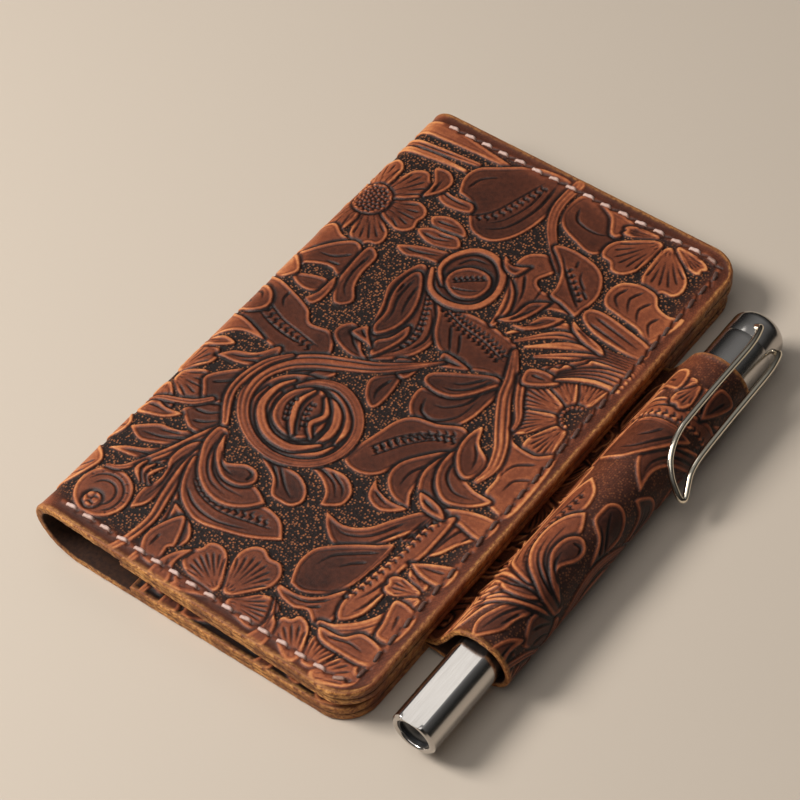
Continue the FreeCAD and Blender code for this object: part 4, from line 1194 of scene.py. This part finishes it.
back_relief = Relief(-4, 98, -2, HEIGHT + 2)
back_relief.h = plain_tooling[::-1].copy()
back_relief.ground = plain_ground[::-1].copy()
pull_stitches(back_relief, back_walk, back_pitch)
back_tone_layer = tone_layer(back_relief.h, back_relief.ground)


def spine_join_x(s):
    """On the lower bend the front's pattern runs on round the spine, then meets the back's."""
    return FRONT_X - UPPER_ARC - (LOWER_ARC + s)


def back_height(s, y):
    bend = sample(tooled, plain_tooling, spine_join_x(s), y)
    flat = sample(back_relief, back_relief.h, LOWER_RADIUS + s, y)
    share = smooth((s + 3) / 3)
    return bend * (1 - share) + flat * share


def back_matting(s, y):
    return sample(back_relief, back_relief.ground, LOWER_RADIUS + s, y) * smooth(s / 3 + 1)


def back_tone(s, y):
    bend = sample(tooled, tooled_tone, spine_join_x(s), y) + rub(FRONT_X - UPPER_ARC + 0 * s, y)
    flat = sample(back_relief, back_tone_layer, LOWER_RADIUS + s, y) + 0.7 * rub(LOWER_RADIUS + s + 2, y)
    share = smooth((s + 3) / 3)
    return bend * (1 - share) + flat * share


back = leather("cover_back_tooled", back_place, (-LOWER_ARC, BACK_WIDTH - LOWER_RADIUS), (0, HEIGHT), SHELL,
               height=back_height, tone=back_tone, matted=back_matting, flip=True)
back.data.materials.append(cover_leather)
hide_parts("back_shell")
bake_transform(back)

# ---- pockets ----
pocket_leather = leather_material("pocket_leather", lift=-0.02, gloss=0.42)


def pocket_tooling(walk, pitch, upside_down):
    """The same tooled hide, cut for a pocket, with its own row of stitch holes."""
    hide = Relief(-4, 98, -2, HEIGHT + 2)
    way = -1 if upside_down else 1
    hide.h = plain_tooling[::way].copy()
    hide.ground = plain_ground[::way].copy()
    pull_stitches(hide, [w for w in walk if w[0] > MOUTH_X + 1], pitch)
    return hide, tone_layer(hide.h, hide.ground)


def front_pocket_place(s, y, out):
    return front_place(s, y, -(SHELL + POCKET) - out)


def back_pocket_place(s, y, out):
    return back_place(s, y, -(SHELL + POCKET) - out)


MOUTH_S = (MOUTH_X - FRONT_X) / math.cos(TILT)
POCKETS = (
    ("front", front_pocket_place, (MOUTH_S, FRONT_LENGTH), front_walk, front_pitch, front_x, True),
    ("back", back_pocket_place, (MOUTH_X - LOWER_RADIUS, BACK_WIDTH - LOWER_RADIUS), back_walk, back_pitch,
     lambda s: LOWER_RADIUS + s, False))
for label, place, span, walk, pitch, to_x, flip in POCKETS:
    hide, hide_tone = pocket_tooling(walk, pitch, flip)
    made = leather("cover_pocket_" + label, place, span, (0, HEIGHT), POCKET, near="round",
                   near_corner=0.0, pitch=0.4,
                   rounding=0.55, flip=flip, height=lambda s, y: 0.8 * sample(hide, hide.h, to_x(s), y),
                   tone=lambda s, y: sample(hide, hide_tone, to_x(s), y) + 0.02,
                   matted=lambda s, y: 0.7 * sample(hide, hide.ground, to_x(s), y) * border(to_x(s), y))
    made.data.materials.append(pocket_leather)
    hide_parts(label + "_pocket")
    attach(made, label + "_cover")


# ---- stitching ----
def thread(walk, place, to_s, name, length, rise, dirt_and_shade, side=1.0, sides=8, along=13):
    """A row of slanted stitches of two-ply thread whose ends dive into the holes."""
    verts, faces, dirt_and_shade_values, skin = [], [], [], []
    for number, (x, y, turn) in enumerate(walk):
        slant = turn + side * (0.13 + 0.05 * math.sin(number * 2.7))
        reach = length / 2 * (1 + 0.04 * math.sin(number * 1.9))
        t = np.linspace(-1, 1, along)
        across = 0.10 * np.sin(number * 3.3) * (1 - t ** 2)
        px = x + reach * t * math.cos(slant) - across * math.sin(slant)
        py = y + reach * t * math.sin(slant) + across * math.cos(slant)
        height = rise - 0.95 * np.abs(t) ** 5 - 0.06 * t ** 2
        base = sum(len(v) for v in verts)
        radius = 0.48 * (1 - 0.30 * np.abs(t) ** 6)
        for k in range(along):
            a = np.linspace(0, 2 * math.pi, sides, endpoint=False)
            r = radius[k] * (1 + 0.13 * np.cos(2 * a - 3.4 * t[k] * reach))
            lateral, up = r * np.cos(a), 0.8 * r * np.sin(a)
            qx = px[k] - lateral * math.sin(slant)
            qy = py[k] + lateral * math.cos(slant)
            verts.append(place(to_s(qx), qy, height[k] + up))
            skin.append(np.c_[np.full(sides, t[k] * reach), a, np.full(sides, number * 7.0)])
            # each stitch darkens towards its ends as painted shade where the thread dives into the holes
            dirt_and_shade_values.append(np.full(sides, dirt_and_shade(x, y) + 0.45 * abs(t[k]) ** 4))
        ring = base + np.arange(along * sides).reshape(along, sides)
        faces += quads(np.c_[ring, ring[:, :1]]).tolist()
        faces.append(ring[0].tolist())
        faces.append(ring[-1][::-1].tolist())
    made = mesh_piece(name, np.vstack(verts), faces, None, {"dirt_and_shade": np.clip(np.concatenate(dirt_and_shade_values), 0, 1)},
                      np.vstack(skin))
    made.data.materials.append(thread_stuff)
    return made


thread_stuff = thread_material()


def front_s(x):
    return (x - FRONT_X) / math.cos(TILT)


def back_s(x):
    return x - LOWER_RADIUS


def front_dirt_and_shade(x, y):
    """The rows across the ends are pale. The column down the fore-edge is dark: painted shade for its sunken
    side away from the light, plus some grime, varying a little from stitch to stitch.
    """
    return 0.08 + 0.74 * float(smooth((x - 87.0) / 3.5)) + 0.10 * abs(math.sin(y * 3 + x))


# each row's last entry is its darkening: grime on the thread and painted shade together
for name, walk, place, to_s, rise, side, body, node, dirt_and_shade in (
        ("thread_front_outer", front_walk, front_place, front_s, 0.06, 1.0, "front_cover",
         "front_stitching", front_dirt_and_shade),
        ("thread_front_inner", [w for w in front_walk if w[0] > MOUTH_X + 1], front_pocket_place, front_s,
         0.06, -1.0,
         "front_cover", None, lambda x, y: 0.25),
        ("thread_back_outer", back_walk, back_place, back_s, -0.36, -1.0, "back_cover", "back_stitching",
         lambda x, y: 0.35),
        ("thread_back_inner", [w for w in back_walk if w[0] > MOUTH_X + 1], back_pocket_place, back_s,
         0.06, 1.0,
         "back_cover", None, lambda x, y: 0.25)):
    made = thread(walk, place, to_s, name, 3.5, rise, dirt_and_shade, side)
    if node:
        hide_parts(node)
    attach(made, body)


# ---- pen loop ----
def loop_line():
    """The loop's outside, from the seam over the pen and back under it, as (x, z) points."""
    r = LOOP_OUTER
    top = [(BACK_WIDTH - 7.0, 3.75), (BACK_WIDTH - 2.0, 3.8), (BACK_WIDTH + 1.2, 4.5),
           (BACK_WIDTH + 4.2, 7.6)]
    arc = [(PEN_X + r * math.cos(a), PEN_Z + r * math.sin(a)) for a in np.radians(np.arange(146, -108,
                                                                                            -4.0))]
    low = [(BACK_WIDTH + 5.2, 1.15), (BACK_WIDTH + 1.5, 2.0), (BACK_WIDTH - 2.0, 2.42),
           (BACK_WIDTH - 7.0, 2.45)]
    line = trace(top + arc + low, per=6)
    steps = np.concatenate([[0], np.cumsum(np.hypot(*np.diff(line, axis=0).T))])
    even = np.linspace(0, steps[-1], int(steps[-1] / 0.25))
    line = np.c_[np.interp(even, steps, line[:, 0]), np.interp(even, steps, line[:, 1])]
    for _ in range(6):
        line[1:-1] = (line[:-2] + 2 * line[1:-1] + line[2:]) / 4
    way = np.gradient(line, axis=0)
    way /= np.hypot(*way.T)[:, None]
    return even, line, np.c_[-way[:, 1], way[:, 0]]


loop_s, loop_xz, loop_out = loop_line()
LOOP_LENGTH = loop_s[-1]


def loop_thickness(s):
    """Thinned where the two ends lie together in the seam."""
    ends = np.minimum(s, LOOP_LENGTH - s)
    return 0.62 + (STRAP - 0.62) * smooth((ends - 7.0) / 3.5)


def loop_place(s, y, out):
    x = np.interp(s, loop_s, loop_xz[:, 0]) + out * np.interp(s, loop_s, loop_out[:, 0])
    z = np.interp(s, loop_s, loop_xz[:, 1]) + out * np.interp(s, loop_s, loop_out[:, 1])
    return np.c_[x, y, z]


def loop_pattern(s, y):
    """The strap is cut across the same tooled hide."""
    return y - LOOP_Y[0] + 6, s + 1.0


def loop_height(s, y):
    x, v = loop_pattern(s, y)
    ends = np.minimum(s, LOOP_LENGTH - s)
    return 0.8 * sample(tooled, plain_tooling, x, v) * smooth((ends - 7.5) / 2)


def loop_matting(s, y):
    x, v = loop_pattern(s, y)
    return 0.35 * sample(tooled, plain_ground, x, v)


def loop_tone(s, y):
    x, v = loop_pattern(s, y)
    # painted highlight on the loop's top over the pen, and painted shade on its far side and underside
    painted_light_and_shade = 0.20 * np.exp(-((s - 19) / 8) ** 2) - 0.16 * smooth((s - 27) / 10)
    return sample(tooled, plain_tone, x, v) + 0.34 * sample(tooled, plain_ground, x, v) + painted_light_and_shade


plain_tone = tone_layer(plain_tooling, plain_ground)
loop = leather("pen_loop_strap", loop_place, (0, LOOP_LENGTH), LOOP_Y, STRAP, far="cap", near="cap",
               pitch=0.28,
               height=loop_height, tone=loop_tone, matted=loop_matting, rounding=0.45, thin=loop_thickness)
loop.data.materials.append(leather_material("loop_leather", lift=0.03))
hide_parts("pen_loop")
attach(loop, "back_cover")


# =============================================================== the pen

def lathe(name, stations, sides=128, shape=None):
    """A turned piece along the pen from a loop of (y, radius) stations. shape may change a ring's points."""
    a = np.linspace(0, 2 * math.pi, sides, endpoint=False)
    verts = []
    for y, radius in stations:
        x, z = radius * np.cos(a), radius * np.sin(a)
        if shape:
            x, z = shape(y, x, z)
        verts.append(np.c_[PEN_X + x, np.full(sides, y), PEN_Z + z])
    ring = np.arange(len(stations) * sides).reshape(-1, sides)
    faces = quads(np.c_[ring, ring[:, :1]]).tolist()
    first, last = ring[0], ring[-1]
    faces += quads(np.stack([np.r_[last, last[0]], np.r_[first, first[0]]])).tolist()
    return mesh_piece(name, np.vstack(verts), faces)


def rounded(profile, radius=0.25, steps=4):
    """Stations with each inner corner rounded."""
    p = np.asarray(profile, float)
    out = [p[0]]
    for a, b, c in zip(p, p[1:], p[2:]):
        u, v = (a - b), (c - b)
        lu, lv = np.hypot(*u), np.hypot(*v)
        cut = min(radius, 0.45 * lu, 0.45 * lv)
        start, end = b + u / lu * cut, b + v / lv * cut
        for t in np.linspace(0, 1, steps + 1):
            out.append((1 - t) ** 2 * start + 2 * t * (1 - t) * b + t ** 2 * end)
    out.append(p[-1])
    return out


def with_flats(y, x, z):
    """Flats on top and underneath, run out softly at their front end."""
    limit = FLAT + (BARREL_RADIUS - FLAT) * float(smooth((y - FLAT_END + 1.2) / 1.2))
    outside = np.hypot(x, z) > BORE + 0.2
    return x, np.where(outside, np.clip(z, -limit, limit), z)


steel = metal_material("satin_metal", (0.53, 0.50, 0.47), 0.13, 0.05, (3000, 90, 3000))
wire_metal = metal_material("bright_wire", (0.82, 0.74, 0.60), 0.06, 0.02, (400, 400, 400))
dark_plastic = plastic_material("dark_plastic", (0.012, 0.012, 0.013), 0.28)
refill_plastic = plastic_material("refill_plastic", (0.35, 0.36, 0.38), 0.35)


def barrel_body():
    """The barrel tube, its rear rim rounded inside and out."""
    rear = PEN_REAR
    profile = [(rear + 1.9, BORE), (rear + 0.35, BORE), (rear, BORE + 0.35), (rear, BARREL_RADIUS - 0.55),
               (rear + 0.6, BARREL_RADIUS)]
    stations = rounded(profile, 0.2, 4)
    stations += [(y, BARREL_RADIUS) for y in np.linspace(rear + 1.5, BARREL_FRONT, 60)]
    stations += [(BARREL_FRONT, BARREL_RADIUS - 0.5), (BARREL_FRONT, BORE)]
    return lathe("pen_barrel_body", stations, 160, with_flats)


def rear_plug():
    """The dark plug in the barrel's rear, with a thin lip and a dimpled face."""
    rear, face = PEN_REAR, PLUG_FACE
    lip = [(face + 6, 0.4), (face + 6, BORE - 0.03), (rear + 0.6, BORE - 0.03), (rear + 0.5, BORE - 0.12),
           (rear + 0.6, BORE - 0.4), (face - 0.2, BORE - 0.5)]
    dimple = [(face, 2.6), (face + 0.3, 2.0), (face + 0.9, 1.35), (face + 1.15, 0.7), (face + 1.2, 0.4)]
    return lathe("pen_rear_plug", lip + dimple, 96)


def cap_sleeve():
    """The cap's sleeve, with a rounded open end."""
    y0, y1, r = CAP_START, CROWN_START, CAP_RADIUS
    lip = [(y1 - 0.1, CAP_BORE), (y0 + 0.35, CAP_BORE), (y0 + 0.08, 6.3), (y0, 6.5), (y0 + 0.08, 6.75),
           (y0 + 0.35, r)]
    side = [(y, r) for y in np.linspace(y0 + 1, y1 - 0.1, 40)]
    return lathe("pen_cap_sleeve", lip + side + [(y1 - 0.04, r - 0.02), (y1 - 0.03, r - 0.15)], 128)


def cap_crown():
    """The domed end of the cap, closed at its middle."""
    y0, r = CROWN_START, CAP_RADIUS
    shoulder = [(y0 - 0.01, 0.5), (y0 - 0.01, r - 0.15), (y0, r - 0.02), (y0 + 0.06, r), (y0 + 3, r)]
    dome = [(CAP_END - DOME_RISE * (1 - math.sin(a)), r - DOME_RISE * (1 - math.cos(a)))
            for a in np.radians(np.arange(0, 91, 6))]
    return lathe("pen_cap_crown", shoulder + dome + [(CAP_END, 3.0), (CAP_END, 0.5)], 128)


def clip_line():
    """The clip's wire as (height above the pen's axis, y, side), from one root round the tip to the other."""
    root = [(5.0, 133.0), (6.3, 132.8), (7.4, 132.2), (8.5, 129.6), (9.3, 126.2)]
    left = [(122, 4.05), (110, 4.15), (100, 4.05), (96.6, 3.8), (93.2, 2.9), (89.6, 0.9), (87.0, -2.3),
            (85.8, -5.4)]
    tip = [(85.4, -7.4), (85.9, -8.25), (86.9, -8.1)]
    right = [(89.2, -6.7), (91.8, -5.3), (95.2, -4.6), (100, -4.3), (110, -4.1), (122, -4.0)]
    out_of_crown = [(h, y, CLIP_SIDE) for h, y in root]
    into_crown = [(h, y, -CLIP_SIDE) for h, y in root[::-1]]
    return trace(out_of_crown + [(CLIP_PLANE, y, across) for y, across in left + tip + right] + into_crown,
                 per=10)


def tube_along(name, line, radius, sides=24):
    """A round wire along a line of points."""
    ahead = np.gradient(line, axis=0)
    ahead /= np.linalg.norm(ahead, axis=1)[:, None]
    side = np.cross(ahead[0], (0.0, 0.3, 1.0))
    a = np.linspace(0, 2 * math.pi, sides, endpoint=False)
    verts = []
    for p, d in zip(line, ahead):
        side = side - d * (side @ d)
        side /= np.linalg.norm(side)
        up = np.cross(d, side)
        verts.append(p + radius * (np.cos(a)[:, None] * side + np.sin(a)[:, None] * up))
    ring = np.arange(len(line) * sides).reshape(-1, sides)
    faces = quads(np.c_[ring, ring[:, :1]]).tolist() + [ring[0][::-1].tolist(), ring[-1].tolist()]
    return mesh_piece(name, np.vstack(verts), faces)


def clip_wire():
    """The clip's wire, turned to the way the clip faces."""
    route = clip_line()
    outward = np.array([math.cos(CLIP_FACING), 0, math.sin(CLIP_FACING)])
    sideways = np.array([-math.sin(CLIP_FACING), 0, math.cos(CLIP_FACING)])
    line = np.array([PEN_X, 0, PEN_Z]) + route[:, :1] * outward + route[:, 2:] * sideways
    return tube_along("pen_clip_wire", line + route[:, 1:2] * (0, 1, 0), WIRE_RADIUS)


for make, angle, stuff, slot, node, body in (
        (barrel_body, 28, steel, "satin_metal", "pen_barrel", "pen_barrel"),
        (rear_plug, 40, dark_plastic, "dark_plastic", "pen_end_plug", "pen_barrel"),
        (cap_sleeve, 40, steel, "satin_metal", "cap_tube", "pen_cap"),
        (cap_crown, 40, steel, "satin_metal", "cap_crown", "pen_cap"),
        (clip_wire, 50, wire_metal, "bright_wire", "pen_clip", "pen_clip")):
    made = make()
    made.data.set_sharp_from_angle(angle=math.radians(angle))
    made.data.materials.append(stuff)
    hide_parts(node)
    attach(made, body)

for node, stuff in (("pen_grip", dark_plastic), ("pen_tip", steel), ("pen_refill", refill_plastic),
                    ("cap_liner", dark_plastic)):
    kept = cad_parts[node]
    kept.data.materials.clear()
    kept.data.materials.append(stuff)


# =============================================================== floor, light and camera

def floor():
    """A plain pale floor."""
    half, level = 3.0, -0.00005
    corners = [(-half, -half, level), (half, -half, level), (half, half, level), (-half, half, level)]
    mesh = bpy.data.meshes.new("floor")
    mesh.from_pydata(corners, [], [(0, 1, 2, 3)])
    plane = bpy.data.objects.new("floor", mesh)
    bpy.context.scene.collection.objects.link(plane)
    made, tree, bsdf = shader("floor")
    bsdf.inputs["Base Color"].default_value = (0.50, 0.43, 0.355, 1)
    bsdf.inputs["Roughness"].default_value = 0.7
    mesh.materials.append(made)


def aimed(thing, place, target, roll=0.0):
    """Put a light or camera at a place and point it at a target."""
    back_way = np.subtract(place, target) / np.linalg.norm(np.subtract(place, target))
    right = np.cross((0, 0, 1), back_way)
    right /= np.linalg.norm(right)
    up = np.cross(back_way, right)
    c, s = math.cos(roll), math.sin(roll)
    right, up = c * right + s * up, -s * right + c * up
    matrix = [[right[k], up[k], back_way[k], place[k]] for k in range(3)] + [[0, 0, 0, 1]]
    thing.matrix_world = Matrix(matrix)


def toward(azimuth, elevation):
    """The way out to a light or camera. Azimuth is the side it stands on, from the bottom edge."""
    a, e = math.radians(azimuth), math.radians(elevation)
    return np.array([math.sin(a) * math.cos(e), -math.cos(a) * math.cos(e), math.sin(e)])


def lamp(name, azimuth, elevation, distance, size, watts, colour=(1, 1, 1)):
    """A soft square light that points at the cover's middle."""
    data = bpy.data.lights.new(name, "AREA")
    data.shape = "SQUARE"
    data.size = size
    data.energy = watts
    data.color = colour
    thing = bpy.data.objects.new(name, data)
    bpy.context.scene.collection.objects.link(thing)
    aimed(thing, toward(azimuth, elevation) * distance, (0, 0, 0.01))


def camera():
    """A view from the fore-edge's near corner, a little turned."""
    data = bpy.data.cameras.new("camera")
    data.lens = 104.9
    data.sensor_width = 36
    thing = bpy.data.objects.new("camera", data)
    bpy.context.scene.collection.objects.link(thing)
    target = to_row((47.36, 76.21, 6.0))
    aimed(thing, target + toward(47.2, 48.96) * 0.5555, target, math.radians(-11.57))
    data.clip_start = 0.01
    bpy.context.scene.camera = thing


def sky():
    """Soft light from all round, brighter overhead."""
    world = bpy.data.worlds.new("studio")
    bpy.context.scene.world = world
    world.use_nodes = True
    tree = world.node_tree
    way = add(tree, "TexCoord").outputs["Generated"]
    height = add(tree, "SeparateXYZ", {"Vector": way}).outputs[2]
    colour = ramp(tree, height, ((0.0, (0.03, 0.027, 0.024)), (0.35, (0.06, 0.06, 0.06)),
                                 (0.7, (0.34, 0.34, 0.34)), (1.0, (0.75, 0.75, 0.76))))
    tree.links.new(colour, tree.nodes["Background"].inputs["Color"])
    tree.nodes["Background"].inputs["Strength"].default_value = 0.45


floor()
sky()
lamp("key", -55, 50, 0.9, 0.34, 9.5, (1.0, 0.97, 0.93))
lamp("fill", 20, 70, 1.1, 0.8, 2.6, (1.0, 0.97, 0.94))
lamp("flat", -131.6, 61.2, 0.867, 0.17, 0.14, (1.0, 0.98, 0.95))
camera()
bpy.context.scene.view_settings.view_transform = "Standard"
